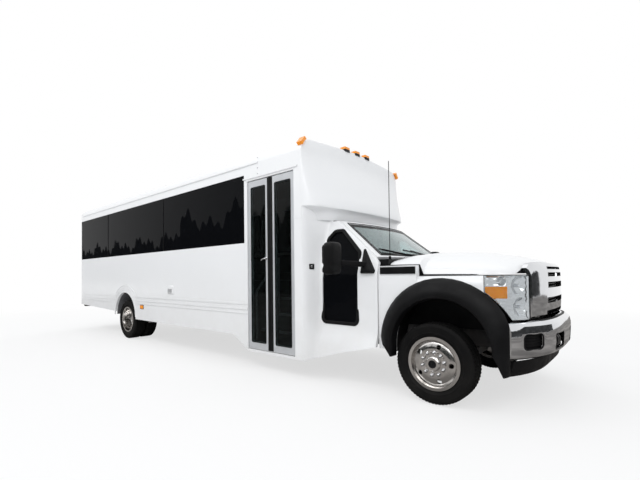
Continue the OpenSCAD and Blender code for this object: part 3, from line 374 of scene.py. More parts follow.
def turned(profile, centre, axis, segments):
    """Rings of a profile of radius and height, turned about an axis through a centre."""
    axis = Vector(axis).normalized()
    side = axis.orthogonal().normalized()
    other = axis.cross(side)
    rings = []
    for r, h in profile:
        middle, reach = centre + axis * (h / 1000), max(r, 0.01) / 1000
        rings.append([middle + (side * math.cos(a) + other * math.sin(a)) * reach for a in angles(segments)])
    return rings


class Build:
    """Collects several shapes into one piece."""

    def __init__(self):
        self.verts, self.faces = [], []

    def add(self, verts, faces):
        n = len(self.verts)
        self.verts += [Vector(v) for v in verts]
        self.faces += [tuple(i + n for i in f) for f in faces]
        return self

    def grid(self, rows, close_u=False, close_v=False):
        """A skin over rows of points."""
        n, m = len(rows), len(rows[0])
        faces = []
        for i in range(n if close_u else n - 1):
            for j in range(m if close_v else m - 1):
                a, b = i * m, ((i + 1) % n) * m
                k = (j + 1) % m
                faces.append((a + j, a + k, b + k, b + j))
        return self.add([p for r in rows for p in r], faces)

    def loft(self, rings):
        """Closed rings joined by skins, with both ends capped."""
        n, m = len(rings), len(rings[0])
        self.grid(rings, close_v=True)
        base = len(self.verts) - n * m
        self.faces.append(tuple(base + j for j in range(m)))
        self.faces.append(tuple(base + (n - 1) * m + j for j in reversed(range(m))))
        return self

    def prism(self, outline, offset):
        """A flat outline pushed along an offset."""
        return self.loft([outline, [p + offset for p in outline]])

    def box(self, lo, hi):
        (a, b, c), (d, e, f) = lo, hi
        return self.prism([P(a, b, c), P(d, b, c), P(d, e, c), P(a, e, c)], Vector((0, 0, (f - c) / 1000)))

    def side_box(self, side, xs, ys, zs):
        """A box on one side of the bus; ys are distances from its middle plane."""
        low, high = sorted(side * y for y in ys)
        return self.box((xs[0], low, zs[0]), (xs[1], high, zs[1]))

    def sheet(self, outer, inner):
        """A closed plate between two nets of points."""
        n, m = len(outer), len(outer[0])
        base = len(self.verts)
        self.grid(outer)
        self.grid([list(reversed(r)) for r in inner])
        back = base + n * m
        rim = [(i, 0) for i in range(n)] + [(n - 1, j) for j in range(1, m)]
        rim += [(i, m - 1) for i in range(n - 2, -1, -1)] + [(0, j) for j in range(m - 2, 0, -1)]
        for (i, j), (k, l) in zip(rim, rim[1:] + rim[:1]):
            near, far = base + i * m + j, base + k * m + l
            self.faces.append((near, far, back + (k + 1) * m - 1 - l, back + (i + 1) * m - 1 - j))
        return self

    def turn(self, profile, centre, axis, segments=48):
        """A skin turned from a profile of radius and height."""
        return self.grid(turned(profile, centre, axis, segments), close_v=True)

    def solid_turn(self, profile, centre, axis, segments=48):
        """A turned skin with both ends capped."""
        return self.loft(turned(profile, centre, axis, segments))

    def tube(self, points, radius, sides=12, closed=False):
        """A round bar along points."""
        rings, up = [], None
        n = len(points)
        for i, p in enumerate(points):
            a = points[(i - 1) % n] if closed or i else p
            b = points[(i + 1) % n] if closed or i < n - 1 else p
            t = (b - a).normalized()
            up = t.orthogonal().normalized() if up is None else (up - t * up.dot(t)).normalized()
            w = t.cross(up)
            rings.append([p + (up * math.cos(c) + w * math.sin(c)) * radius / 1000 for c in angles(sides)])
        return self.grid(rings, close_u=True, close_v=True) if closed else self.loft(rings)

    def done(self, name, body, mat, **options):
        return piece(name, self.verts, self.faces, body, mat, **options)


def rounded(points, radius, steps=6):
    """A 2-D outline with rounded corners."""
    out, n = [], len(points)
    for i in range(n):
        p, a, b = (Vector(points[k % n]) for k in (i, i - 1, i + 1))
        u, v = (a - p).normalized(), (b - p).normalized()
        half = math.acos(max(-1, min(1, u.dot(v)))) / 2
        m = p + (u + v).normalized() * radius / math.sin(half)
        s, e = p + u * radius / math.tan(half), p + v * radius / math.tan(half)
        for k in range(steps + 1):
            out.append(m + (s.lerp(e, k / steps) - m).normalized() * radius)
    return out


def box_outline(x0, z0, x1, z1, r, steps=6):
    return rounded([(x0, z0), (x1, z0), (x1, z1), (x0, z1)], r, steps)


def ring_points(n, radius, start=0.0):
    return [(radius * math.cos(start + a), radius * math.sin(start + a)) for a in angles(n)]


def spread(a, b, n):
    """Values from a to b in n steps."""
    return [mix(a, b, k / n) for k in range(n + 1)]


def signed_power(value, power):
    """A power that keeps the sign, for squared-off rounds."""
    return math.copysign(abs(value) ** power, value)


# Wheels

# Half profile of a tyre: radius and distance from its middle plane
TYRE_SIDE = [(250, 90), (258, 97), (272, 93), (276, 99), (284, 104), (300, 109), (303, 111.5), (308, 111.5),
             (311, 110), (330, 112.6), (345, 113), (362, 111.5), (366, 112.3), (371, 110), (378, 107.5),
             (386, 103)]
TYRE_RIBS = [(395, 99), (400.5, 92), (402, 82), (402, 70), (393, 69), (393, 61), (402, 60), (402.6, 44),
             (402.6, 35), (393, 34), (393, 26), (402.8, 25), (AXLE_Z, 8)]
LUG_CUT, RIB_CUT = 6, 3

# Turned profiles: radius and height over the hub's face
NUT = [(19, 0), (19, 4), (15.5, 6), (15, 24), (12.5, 31), (7, 35), (0.5, 36)]
HUB_PLUG = [(40, 0), (40, 3), (34, 5), (30, 2), (8, 2), (6, 6), (0.5, 6.5)]
HUB_BOLT = [(8, 0), (8, 6), (5, 8), (0.5, 8.5)]

# Distances of the faces from the middle of the wheels
NUT_FACE_FRONT, NUT_FACE_REAR, PLUG_FACE, BOLT_FACE = 98, 8, 128, 138


def tread_cut(k, r, h):
    """Depth of the shoulder lugs and rib cuts at point k round a tyre."""
    if 70 <= abs(h) <= 100 and r > 390:
        return LUG_CUT if (k + (h > 0)) % 3 == 0 else 0
    if abs(h) < 60 and r > 400:
        return RIB_CUT if k % 4 == (0 if abs(h) < 30 else 2) else 0
    return 0


def tyre(build, x, y):
    """A tyre with ribs, shoulder lugs and sidewall rings."""
    profile = TYRE_SIDE + TYRE_RIBS
    profile += [(r, -h) for r, h in reversed(profile)]
    rows = []
    for r, h in profile:
        ring = []
        for k, a in enumerate(angles(216)):
            reach = r - tread_cut(k, r, h)
            ring.append(P(x, y, AXLE_Z) + Vector((reach * math.cos(a), h, reach * math.sin(a))) / 1000)
        rows.append(ring)
    build.grid(rows, close_u=True, close_v=True)


def wheel_nuts(x, y, side, face):
    b = Build()
    for px, pz in ring_points(10, 112.5, 0.2):
        b.solid_turn(NUT, P(x + px, y + side * face, AXLE_Z + pz), (0, side, 0), 12)
    return b


def wheels():
    for side, word in SIDES:
        front, rear = f"wheel_front_{word}", f"wheels_rear_{word}"
        front_y, rear_y = side * FRONT_TRACK, side * REAR_TRACK
        b = Build()
        tyre(b, 0, front_y)
        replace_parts(b.done(f"tyre_tread_front_{word}", front, "tyre"), f"tyre_front_{word}")
        b = Build()
        for twin in (-1, 1):
            tyre(b, REAR_AXLE, side * (REAR_TRACK + twin * TWIN_GAP / 2))
        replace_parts(b.done(f"tyre_treads_rear_{word}", rear, "tyre"), f"tyres_rear_{word}")
        wheel_nuts(0, front_y, side, NUT_FACE_FRONT).done(f"nut_covers_front_{word}", front, "chrome")
        wheel_nuts(REAR_AXLE, rear_y, side, NUT_FACE_REAR).done(f"nut_covers_rear_{word}", rear, "chrome")
        plug = [(r, PLUG_FACE + h) for r, h in HUB_PLUG]
        b = Build().solid_turn(plug, P(0, front_y, AXLE_Z), (0, side, 0), 40)
        b.done(f"hub_plug_front_{word}", front, "satin_black")
        b = Build()
        for px, pz in ring_points(8, 46):
            seat = P(REAR_AXLE, rear_y, AXLE_Z) + Vector((px, side * BOLT_FACE, pz)) / 1000
            b.solid_turn(HUB_BOLT, seat, (0, side, 0), 6)
        b.done(f"hub_bolts_rear_{word}", rear, "steel")


# Front end


def nose(y, x, drop, half, power):
    """Station of a bowed front at a distance from the middle."""
    return x - drop * (abs(y) / half) ** power


# The headlamp is a round wall in plan, cut out below by the flare's arch
LAMP_C, LAMP_R, LAMP_INNER_Y = (470, 690), 324, 725
LAMP_LOW, LAMP_TOP, LAMP_SPAN = 868, 1276, 464
ARCH_X, ARCH_Z, ARCH_R = 70, 575, 684

# Bowls of the reflector: place along the lamp, height and radius
LAMP_BOWLS = ((0.70, 1180, 88), (0.74, 985, 88), (0.32, 1222, 42))
BULB = [(16, 0), (16, 14), (13, 20), (12, 34), (8, 40), (0.5, 42)]


def lamp_angle(s):
    return math.radians(mix(88.2, 6.2, s))


def lamp_point(s, z, depth, side):
    """Headlamp surface: s from the fender to the grille, moved inward by a depth."""
    a, r = lamp_angle(s), LAMP_R - depth
    return P(LAMP_C[0] + r * math.cos(a), side * max(LAMP_C[1] + r * math.sin(a), LAMP_INNER_Y), z)


def lamp_low(s):
    """Lower edge of the headlamp."""
    x = LAMP_C[0] + LAMP_R * math.cos(lamp_angle(s))
    return max(LAMP_LOW, ARCH_Z + math.sqrt(max(0, ARCH_R ** 2 - (x - ARCH_X) ** 2)))


def lamp_net(depth, side, s0=0.0, s1=1.0, z0=None, z1=LAMP_TOP, n=41, m=33):
    """Net over part of the headlamp; depth is a number or a function of s and z."""
    rows = []
    for s in spread(s0, s1, n - 1):
        low = lamp_low(s) if z0 is None else max(lamp_low(s) + 5, z0)
        zs = spread(low, z1, m - 1)
        rows.append([lamp_point(s, z, depth(s, z) if callable(depth) else depth, side) for z in zs])
    return rows


def lamp_depth(s, z):
    """Depth of the reflector: a rim, two bowls and a small one above the marker."""
    edge = min(s, 1 - s) * LAMP_SPAN
    rim = smooth(min(edge, z - lamp_low(s), LAMP_TOP - z) / 26)
    depth = 12
    for bowl_s, bowl_z, r in LAMP_BOWLS:
        d = math.hypot((s - bowl_s) * LAMP_SPAN, z - bowl_z) / r
        depth = max(depth, 14 + 52 * max(0, 1 - d * d))
    flutes = 3 * math.sin(z / 9) if depth < 15 else 0
    return 5.5 + (depth + flutes) * rim


def lamp_back(s, z):
    return lamp_depth(s, z) + 3


def headlamps():
    marker = (0.015, 0.42, 1066, 1172, 15, 9)
    fine = {"n": 61, "m": 53}
    sunk = 1.5
    for side, word in SIDES:
        b = Build().sheet(lamp_net(0, side), lamp_net(4, side))
        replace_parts(b.done(f"headlamp_lens_{word}", "bus", "clear"), "headlamps")
        b = Build().sheet(lamp_net(lamp_depth, side, **fine), lamp_net(lamp_back, side, **fine))
        b.done(f"headlamp_reflector_{word}", "bus", "reflector")
        b = Build().sheet(lamp_net(6, side, *marker), lamp_net(11, side, *marker))
        b.done(f"headlamp_marker_{word}", "bus", "amber")
        b = Build()
        for s, z, _ in LAMP_BOWLS[:2]:
            seat = lamp_point(s, z, 60, side)
            b.solid_turn(BULB, seat, lamp_point(s, z, 0, side) - seat, 20)
        b.done(f"headlamp_bulbs_{word}", "bus", "chrome")
        edge = [lamp_point(s, lamp_low(s), sunk, side) for s in spread(0, 1, 30)]
        edge += [lamp_point(1, z, sunk, side) for z in spread(LAMP_LOW, LAMP_TOP, 14)[1:]]
        edge += [lamp_point(s, LAMP_TOP, sunk, side) for s in spread(1, 0, 30)[1:]]
        edge += [lamp_point(0, z, sunk, side) for z in spread(LAMP_TOP, lamp_low(0), 8)[1:-1]]
        Build().tube(edge, 3.2, 8, closed=True).done(f"headlamp_seal_{word}", "bus", "rubber")


def grille_x(y, back):
    return nose(y, 908, 95, 720, 2.4) - back


def grille():
    """Wire mesh behind the grille's bars; the opening narrows above the shoulder."""
    shoulder_z, shoulder_y, top_z = 1290, 450, 1360
    b = Build()
    for z in spread(884, top_z, 16):
        half = 560 if z < shoulder_z else shoulder_y
        b.tube([P(grille_x(y, 52), y, z) for y in spread(-half, half, 30)], 3, 6)
    for y in spread(-552, 552, 36):
        x = grille_x(y, 58)
        b.tube([P(x, y, 878), P(x, y, top_z if abs(y) < shoulder_y else shoulder_z)], 3, 6)
    b.done("grille_mesh", "bus", "satin_black")


# The bumper's section: height and setback
BUMPER_ROWS = ((512, 75), (535, 30), (570, 8), (640, 0), (760, 0), (815, 12), (845, 48), (852, 85))

# Openings: corners, corner radius and setback of the rim
BUMPER_OPENINGS = (((690, 605, 905, 745), 40, 6), ((200, 570, 470, 720), 30, 5))

# Tow hook: setback and height
TOW_HOOK = ((54, 690), (30, 688), (18, 668), (18, 622), (30, 602), (54, 600))


def bumper_front(y):
    return nose(y, 985, 285, 1010, 3)


def bumper_x(y, z, back=0):
    for (z0, s0), (z1, s1) in zip(BUMPER_ROWS, BUMPER_ROWS[1:]):
        if z <= z1:
            break
    return bumper_front(y) - mix(s0, s1, max(0, min(1, (z - z0) / (z1 - z0)))) - back


def bumper_patch(y0, y1, z0, z1, back, n=25, m=13):
    """Net over part of the bumper; back is a number or a function of height."""
    ys, zs = spread(y0, y1, n - 1), spread(z0, z1, m - 1)
    return [[P(bumper_x(y, z, back(z) if callable(back) else back), y, z) for z in zs] for y in ys]


def fog_ribs(z):
    """Setback of the ribbed inserts."""
    return 26 + (7 if int((z - 600) / 14.5) % 2 else 0)


def step_pad(lift):
    """Net over the bumper's upper edge, which rolls back from the face."""
    return [[P(bumper_front(y) - d, y, mix(852, 845, smooth((84 - d) / 40)) + lift) for d in (82, 74, 66, 58)]
            for y in spread(-610, 610, 40)]


def bumper():
    inserts, rims, hooks = Build(), Build(), Build()
    for side in (RIGHT, LEFT):
        fog = (side * 682, side * 913, 597, 753)
        inserts.sheet(bumper_patch(*fog, fog_ribs, 25, 45), bumper_patch(*fog, 40, 25, 45))
        for corners, radius, back in BUMPER_OPENINGS:
            outline = box_outline(*corners, radius, 8)
            rims.tube([P(bumper_x(y, z, back), side * y, z) for y, z in outline], 7, 10, closed=True)
        hole = (side * 190, side * 480, 560, 730)
        hooks.sheet(bumper_patch(*hole, 58), bumper_patch(*hole, 64))
        for y in (310, 360):
            hooks.tube([P(bumper_x(y, 640, d), side * y, z) for d, z in TOW_HOOK], 9, 10)
    inserts.done("bumper_fog_inserts", "bus", "plastic")
    rims.done("bumper_opening_rims", "bus", "satin_black")
    hooks.done("bumper_tow_hooks", "bus", "black_paint")
    Build().sheet(step_pad(4), step_pad(0.6)).done("bumper_step_pad", "bus", "plastic")


# Cab

# Window outlines by station and height, and sections of their rubbers by in-plane and outward offset
VISION = [(-1425, 716), (-902, 716), (-902, 1560), (-1205, 1855), (-1330, 1855), (-1425, 1760)]
VISION_RUBBER = [(-24, -13), (-24, 6), (-19, 10), (10, 11), (16, 8), (18, 0.6)]
DRIVER_WINDOW = [(-1380, 1330), (-800, 1330), (-800, 1425), (-1275, 1835), (-1380, 1835)]
DRIVER_RUBBER = [(-10, -15), (-10, 2), (-6, 5), (8, 5), (12, 0.6)]


def band(build, outline, side, section):
    """A strip along an outline of the cab side."""
    n, rows = len(outline), []
    for i, p in enumerate(outline):
        t = (outline[(i + 1) % n] - outline[i - 1]).normalized()
        normal = Vector((t.y, -t.x))
        row = []
        for across, out in section:
            q = p + normal * across
            row.append(P(q.x, side * (cab_y(max(q.x, CORNER_X), q.y) + out), q.y))
        rows.append(row)
    build.grid(rows, close_u=True, close_v=True)


def around_screen(u, v0, v1, out):
    """A loop on the windshield between two heights, moved out along its normal."""
    loop = [screen(k, v0, out) for k in spread(-u, u, 24)[:-1]]
    loop += [screen(u, v, out) for v in spread(v0, v1, 24)[:-1]]
    loop += [screen(k, v1, out) for k in spread(u, -u, 24)[:-1]]
    return loop + [screen(-u, v, out) for v in spread(v1, v0, 24)[:-1]]


def cab():
    b = Build()
    band(b, rounded(VISION, 60, 8), RIGHT, VISION_RUBBER)
    b.done("vision_window_rubber", "bus", "rubber")
    b = Build()
    band(b, rounded(DRIVER_WINDOW, 40, 8), LEFT, DRIVER_RUBBER)
    b.done("driver_window_rubber", "driver_door_body", "rubber")
    wide, narrow = (0.985, 0.055, 0.935), (0.93, 0.12, 0.85)
    loops = ((wide, -5.2), (narrow, -5.2), (narrow, -5.8), (wide, -5.8))
    b = Build().grid([around_screen(*loop, out) for loop, out in loops], close_u=True, close_v=True)
    b.done("windshield_black_edge", "bus", "satin_black")
    b = Build().tube(around_screen(1.0, 0.045, 0.945, 1.2), 6, 8, closed=True)
    b.done("windshield_seal", "bus", "rubber")
    b = Build()
    for y0, y1 in ((300, -330), (-330, -800)):
        steps = spread(0, 1, 16)
        blade = [screen(mix(y0, y1, t) / SCREEN_HALF, mix(0.05, 0.19, t ** 1.2), 16) for t in steps]
        b.tube(blade, 6, 8)
        b.tube([p - Vector((0, 0, 0.011)) for p in blade], 3.5, 6)
    b.done("wiper_blades", "bus", "satin_black")


MIRROR_X, MIRROR_Y = -1000, 1375
MIRROR_LOW, MIRROR_TALL = 1300, 360
MIRROR_FOOT = [(-848, 1308), (-678, 1308), (-668, 1340), (-832, 1594), (-848, 1604)]
MIRROR_FOOT_C = (-775, 1405)


def mirror_ring(z, side):
    """Outline of a mirror's head at a height, with a groove between its two glasses."""
    t = (z - MIRROR_LOW) / MIRROR_TALL
    size = max(0.02, 1 - abs(2 * t - 1) ** 7) ** (1 / 5)
    grow = -2.5 if 1396 < z < 1408 else 0
    ring = []
    for a in angles(48):
        x = signed_power(math.cos(a), 0.45) * (70 * size + grow)
        y = signed_power(math.sin(a), 0.5) * (104 * size + grow)
        ring.append(P(MIRROR_X + x + 6 * t, side * (MIRROR_Y + y), z))
    return ring


def mirrors():
    zs = [MIRROR_LOW + MIRROR_TALL * (0.5 - 0.5 * math.cos(a)) for a in spread(0, math.pi, 36)]
    root, tip = Vector((-795, 1030, 1412)), Vector((-965, 1300, 1432))
    foot = rounded(MIRROR_FOOT, 8, 5)
    for side, word, body in ((RIGHT, "right", "bus"), (LEFT, "left", "driver_door_body")):
        b = Build().loft([mirror_ring(z, side) for z in zs])
        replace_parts(b.done(f"mirror_head_{word}", body, "plastic"), f"mirror_{word}")
        rows = []
        for k in range(9):
            p = root.lerp(tip, k / 8)
            rows.append([P(p.x + x, side * p.y, p.z + z) for x, z in box_outline(-22, -30, 22, 30, 10, 4)])
        Build().loft(rows).done(f"mirror_arms_{word}", body, "plastic")
        rows = []
        for out, shrink in ((0.8, 1.0), (26, 0.97), (40, 0.86), (44, 0.6)):
            row = []
            for x, z in foot:
                y = side * (cab_y(x, z) + out)
                row.append(P(mix(MIRROR_FOOT_C[0], x, shrink), y, mix(MIRROR_FOOT_C[1], z, shrink)))
            rows.append(row)
        Build().loft(rows).done(f"mirror_foot_{word}", body, "plastic")
        for name, z0, z1 in (("upper", 1420, 1632), ("lower", 1322, 1390)):
            plate = [P(-1070.5, side * y, z) for y, z in box_outline(1290, z0, 1460, z1, 22, 6)]
            b = Build().prism(plate, Vector((-0.004, 0, 0)))
            b.done(f"mirror_glass_{name}_{word}", body, "mirror", bevel=1)


# Front cap

# Profile of the cap's front: height and station
CAP_NOSE = ((2060, -1225), (2135, -1235), (2250, -1265), (2340, -1312), (2450, -1362), (2560, -1412),
            (2680, -1475), (2790, -1525), (2870, -1550), (2985, -1560), (3085, -1570))

# Underside from the header up to the lip: drop below the lip and draw behind it
CAP_UNDERSIDE = ((136, 66), (100, 62), (68, 56), (42, 44), (24, 28), (12, 12), (5, 4))
CAP_FOOT_Z, CAP_FOOT_HALF, CAP_REACH = 2000, 1060, 365
ROOF_TOP, SHOULDER_Z, SHOULDER_R, CROWN_R = 3085, 2870, 170, 12249


def cap_nose(z):
    """Station of the cap's front at a height, eased between the given ones."""
    total = 0
    for d in (-50, -25, 0, 25, 50):
        at = max(CAP_NOSE[0][0], min(CAP_NOSE[-1][0], z + d))
        for (z0, x0), (z1, x1) in zip(CAP_NOSE, CAP_NOSE[1:]):
            if at <= z1:
                break
        total += mix(x0, x1, (at - z0) / (z1 - z0))
    return total / 5


def cap_lip(a):
    """Height of the lip, which rises to the walls, at an angle of the plan."""
    return mix(2138, 2166, math.sin(a) ** 2)


def front_cap():
    """The cap with a rounded lip and an underside that draws in to the header."""
    turns = [math.radians(-90 + 3 * k) for k in range(61)]
    most_drop, most_draw = CAP_UNDERSIDE[0]
    rows = []
    for drop, draw in CAP_UNDERSIDE:
        half, reach = mix(HALF_W, CAP_FOOT_HALF, draw / most_draw), CAP_REACH - draw
        rows.append([(reach * math.cos(a), half * math.sin(a), mix(cap_lip(a), CAP_FOOT_Z, drop / most_drop))
                     for a in turns])
    for t in spread(0, 1, 24):
        row = []
        for a in turns:
            z = mix(cap_lip(a), SHOULDER_Z, t)
            row.append(((cap_nose(z) - BODY_FRONT) * math.cos(a), HALF_W * math.sin(a), z))
        rows.append(row)
    tops = []
    for t in range(10, 90, 10):
        a = math.radians(t)
        tops.append((HALF_W - SHOULDER_R + SHOULDER_R * math.cos(a), SHOULDER_Z + SHOULDER_R * math.sin(a)))
    tops += [(y, ROOF_TOP - CROWN_R + math.sqrt(CROWN_R ** 2 - y ** 2)) for y in (950, 800, 600, 400, 200, 2)]
    for half, z in tops:
        rows.append([((cap_nose(z) - BODY_FRONT) * math.cos(a), half * math.sin(a), z) for a in turns])
    outer = [[P(BODY_FRONT + x, y, z) for x, y, z in r] for r in rows]
    inner = []
    for r in rows:
        row = []
        for x, y, z in r:
            drop, lift = 30 * smooth((z - 2700) / 370), 25 * smooth((2120 - z) / 120)
            row.append(P(BODY_FRONT + 0.9 * x, 0.97 * y, z - drop + lift))
        inner.append(row)
    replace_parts(Build().sheet(outer, inner).done("front_cap_shell", "bus", "white"), "front_cap")


def fillet_net(side, depth):
    """Net behind the lip's end, from the wall to the cab's corner."""
    net = []
    for t in spread(0, 1, 16):
        x = mix(-1599.5, -1400, t)
        low = 2030 if x < -1590 else mix(2026, 1980, smooth((x + 1590) / 50))
        y = side * (cab_y(x, 1985) - depth)
        net.append([P(x, y, z) for z in spread(low, mix(2172, CAP_FOOT_Z, smooth(t)), 6)])
    return net


def cap_fillets():
    b = Build()
    for side in (LEFT, RIGHT):
        b.sheet(fillet_net(side, 2), fillet_net(side, 8))
    b.done("front_cap_fillets", "bus", "white")


# Entrance

# Door leaves: name, stations of the edge rubber and of the glass
LEAVES = (("rear", -2236, -2187, -2575, -2278), ("front", -2183, -2134, -2092, -1795))
LEAF_GLASS_LOW, LEAF_GLASS_HIGH = 373, 2542

# Gaskets outside and inside: side, inset, corner radius and thickness
LEAF_GASKETS = ((-1205.5, 0, 20, 4.5), (-1164.5, 12, 12, 4))
HANDLE = ((-2262, -1206, 1532), (-2262, -1228, 1532), (-2268, -1236, 1531), (-2300, -1240, 1524),
          (-2326, -1238, 1516), (-2334, -1232, 1508))


def entrance():
    for word, x0, x1, g0, g1 in LEAVES:
        body = f"leaf_{word}_body"
        b = Build().box((x0, -1210, 283), (x1, -1160, 2634))
        b.done(f"leaf_rubber_{word}", body, "rubber", bevel=5, segments=3)
        b = Build()
        for y, inset, corner, thick in LEAF_GASKETS:
            low, high = LEAF_GLASS_LOW + inset, LEAF_GLASS_HIGH - inset
            outline = box_outline(g0 + inset, low, g1 - inset, high, corner, 8)
            b.tube([P(x, y, z) for x, z in outline], thick, 8, closed=True)
        b.done(f"leaf_gaskets_{word}", body, "rubber")
    b = Build().tube([P(*p) for p in HANDLE], 8, 12)
    b.solid_turn([(22, 0), (22, 5), (18, 8), (0.5, 9)], P(-2262, -1205, 1532), (0, -1, 0), 24)
    b.done("leaf_handle", "leaf_rear_body", "chrome")
    b = Build()
    for y, z in ((-975, 520), (-775, 740), (-570, 960)):
        b.box((-2640, y - 4, z - 32), (-1730, y + 34, z + 4))
    b.done("step_nosings", "bus", "aluminium", bevel=3)


# Body details

PANE_JOINTS = ((-5066, -5054), (-7618, -7612))
LEFT_PANE_JOINT = (-2710, -2698)
VENT_X, VENT_Z = -4790, 1066
KEY_X, KEY_Z = -1521, 1405


def lamp_mounts():
    b = Build()
    for y in (-260, 0, 260):
        b.loft([[P(-1606 + p[0], y + p[1], z) for p in box_outline(-50 + i, -61 + i, 50 - i, 61 - i, 14, 5)]
                for z, i in ((3060, 0), (3091, 0), (3095, 4))])
    b.done("roof_lamp_bases", "bus", "satin_black")
    b = Build()
    for y in (-1221, 1221):
        b.tube([P(x, y, z) for x, z in box_outline(-5995, 668, -5855, 744, 10, 5)], 4, 8, closed=True)
    b.done("side_lamp_bezels", "bus", "satin_black")


def seals_and_panels():
    b = Build()
    for side, joints in ((LEFT, PANE_JOINTS + (LEFT_PANE_JOINT,)), (RIGHT, PANE_JOINTS)):
        for xs in joints:
            b.side_box(side, xs, (1212, 1220.2), (WINDOW_LOW, WINDOW_HIGH))
    b.done("pane_joint_seals", "bus", "rubber")
    b = Build()
    for side in (LEFT, RIGHT):
        b.side_box(side, (-480, 590), (596, 602), (716, 1100))
        b.side_box(side, (594, 600), (560, 985), (400, 900))
    b.done("wheel_well_panels", "bus", "rubber")


def tail_lamp_rings():
    profile = [(60, 0.6), (60, 12), (64, 16), (70, 14), (74, 4), (74, 0.6)]
    b = Build()
    for y in (1010, -1010):
        for z in (900, 1045, 1190):
            b.turn(profile, P(BODY_REAR, y, z), (-1, 0, 0), 48)
    b.done("tail_lamp_rings", "bus", "rubber")


def side_vent():
    rows = []
    for w in (1, 0.985, 0.95, 0.9, 0.82):
        y = -HALF_W - 0.6 - 22 * (1 - w) / 0.18
        rows.append([P(VENT_X + x * w, y, VENT_Z + z * w) for x, z in box_outline(-95, -80, 95, 80, 26, 6)])
    Build().loft(rows).done("side_vent_cover", "bus", "white")
    b = Build()
    for k in range(4):
        low = VENT_Z - 60 + 22 * k
        b.box((VENT_X - 72, -1246, low), (VENT_X + 72, -1241, low + 8))
    b.done("side_vent_slots", "bus", "cabin", bevel=2)


def wall_screws():
    b = Build()
    for z in (2945, 2800, 2720):
        b.solid_turn([(9, 0), (9, 2), (6, 4.5), (0.5, 5)], P(-2412, -HALF_W, z), (0, -1, 0), 16)
    b.done("wall_screws", "bus", "steel")


def key_switch():
    """The lock on the slanting corner between cab and body."""
    out = Vector((HALF_W - CAB_HALF, -CORNER_RUN, 0)).normalized()
    across = Vector((0, 0, 1)).cross(out).normalized()
    c = P(KEY_X, -cab_y(KEY_X, KEY_Z), KEY_Z)
    plate = box_outline(-32, -34, 32, 34, 9, 5)
    outline = [c + across * (u / 1000) + Vector((0, 0, v / 1000)) for u, v in plate]
    b = Build().loft([[p + out * d for p in outline] for d in (-0.02, 0.010)])
    b.done("key_switch_box", "bus", "satin_black", bevel=2)
    barrel = [(15, 0), (15, 4), (12, 7), (5, 7), (4, 3), (0.5, 3)]
    Build().solid_turn(barrel, c + out * 0.010, out, 24).done("key_switch_barrel", "bus", "chrome")


# Upholstery

# Benches by side and front end; they stand against the rear wall's and side walls' inner faces
BENCHES = ((LEFT, -2950, "left"), (RIGHT, -3150, "right"))
REAR_WALL = 42
BENCH_REAR, BENCH_WALL = BODY_REAR + REAR_WALL, 1177
BASE_ZS, CUSHION_ZS, BACK_ZS = (960, 1190), (1196, 1368), (1300, 1738)
SEAM = 3


def pillow(build, lo, hi, along=0, channels=0, crown=0.25, top=2):
    """A crowned cushion that fills a box, with sewn channels along one axis on its top side."""
    size = [(b - a) / 2 for a, b in zip(lo, hi)]
    mid = [(a + b) / 2 for a, b in zip(lo, hi)]
    u, v = (k for k in range(3) if k != top)
    rows = []
    for k in range(29):
        t = -math.pi / 2 + math.pi * k / 28
        row = []
        for a in angles(56):
            d = [0, 0, 0]
            d[u] = signed_power(math.cos(t), crown) * signed_power(math.cos(a), crown)
            d[v] = signed_power(math.cos(t), crown) * signed_power(math.sin(a), crown)
            d[top] = signed_power(math.sin(t), crown + 0.1)
            d[u] *= 1 - 0.03 * (1 - abs(d[v]) ** 2) * abs(d[u]) ** 8
            if channels:
                groove = math.cos(math.pi * channels * (d[along] + 1) / 2) ** 2
                d[top] *= 1 - 0.10 * groove ** 8 * (abs(d[top]) > 0.3)
            row.append(P(*[m + s * x for m, s, x in zip(mid, size, d)]))
        rows.append(row)
    build.loft(rows)


def benches():
    b = Build()
    for side, front, _ in BENCHES:
        for xs in ((BENCH_REAR + 440, -7230), (-6170, front)):
            b.side_box(side, xs, (700, BENCH_WALL), BASE_ZS)
    b.box((BENCH_REAR, -BENCH_WALL, BASE_ZS[0]), (BENCH_REAR + 430, BENCH_WALL, BASE_ZS[1]))
    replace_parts(b.done("bench_bases", "bus", "cabin", bevel=6), "bench_seats")
    for side, front, word in BENCHES:
        b, backs = Build(), Build()
        seat_low, seat_high = sorted((side * 655, side * 1050))
        back_low, back_high = sorted((side * 1054, side * BENCH_WALL))
        ends = spread(BENCH_REAR + 490, front, 8)
        for x0, x1 in zip(ends, ends[1:]):
            x0, x1 = x0 + SEAM, x1 - SEAM
            pillow(b, (x0, seat_low, CUSHION_ZS[0]), (x1, seat_high, CUSHION_ZS[1]), 0, 4)
            pillow(backs, (x0, back_low, BACK_ZS[0]), (x1, back_high, BACK_ZS[1]), 0, 4, top=1)
        b.done(f"bench_cushions_{word}", "bus", "hide")
        backs.done(f"bench_backs_{word}", "bus", "hide")
    b, backs = Build(), Build()
    ends = spread(-640, 640, 3)
    for y0, y1 in zip(ends, ends[1:]):
        y0, y1 = y0 + SEAM, y1 - SEAM
        pillow(b, (BENCH_REAR + 126, y0, CUSHION_ZS[0]), (BENCH_REAR + 480, y1, CUSHION_ZS[1]), 1, 4)
        pillow(backs, (BENCH_REAR, y0, BACK_ZS[0]), (BENCH_REAR + 120, y1, BACK_ZS[1]), 1, 4, top=0)
    b.done("bench_cushions_rear", "bus", "hide")
    backs.done("bench_backs_rear", "bus", "hide")


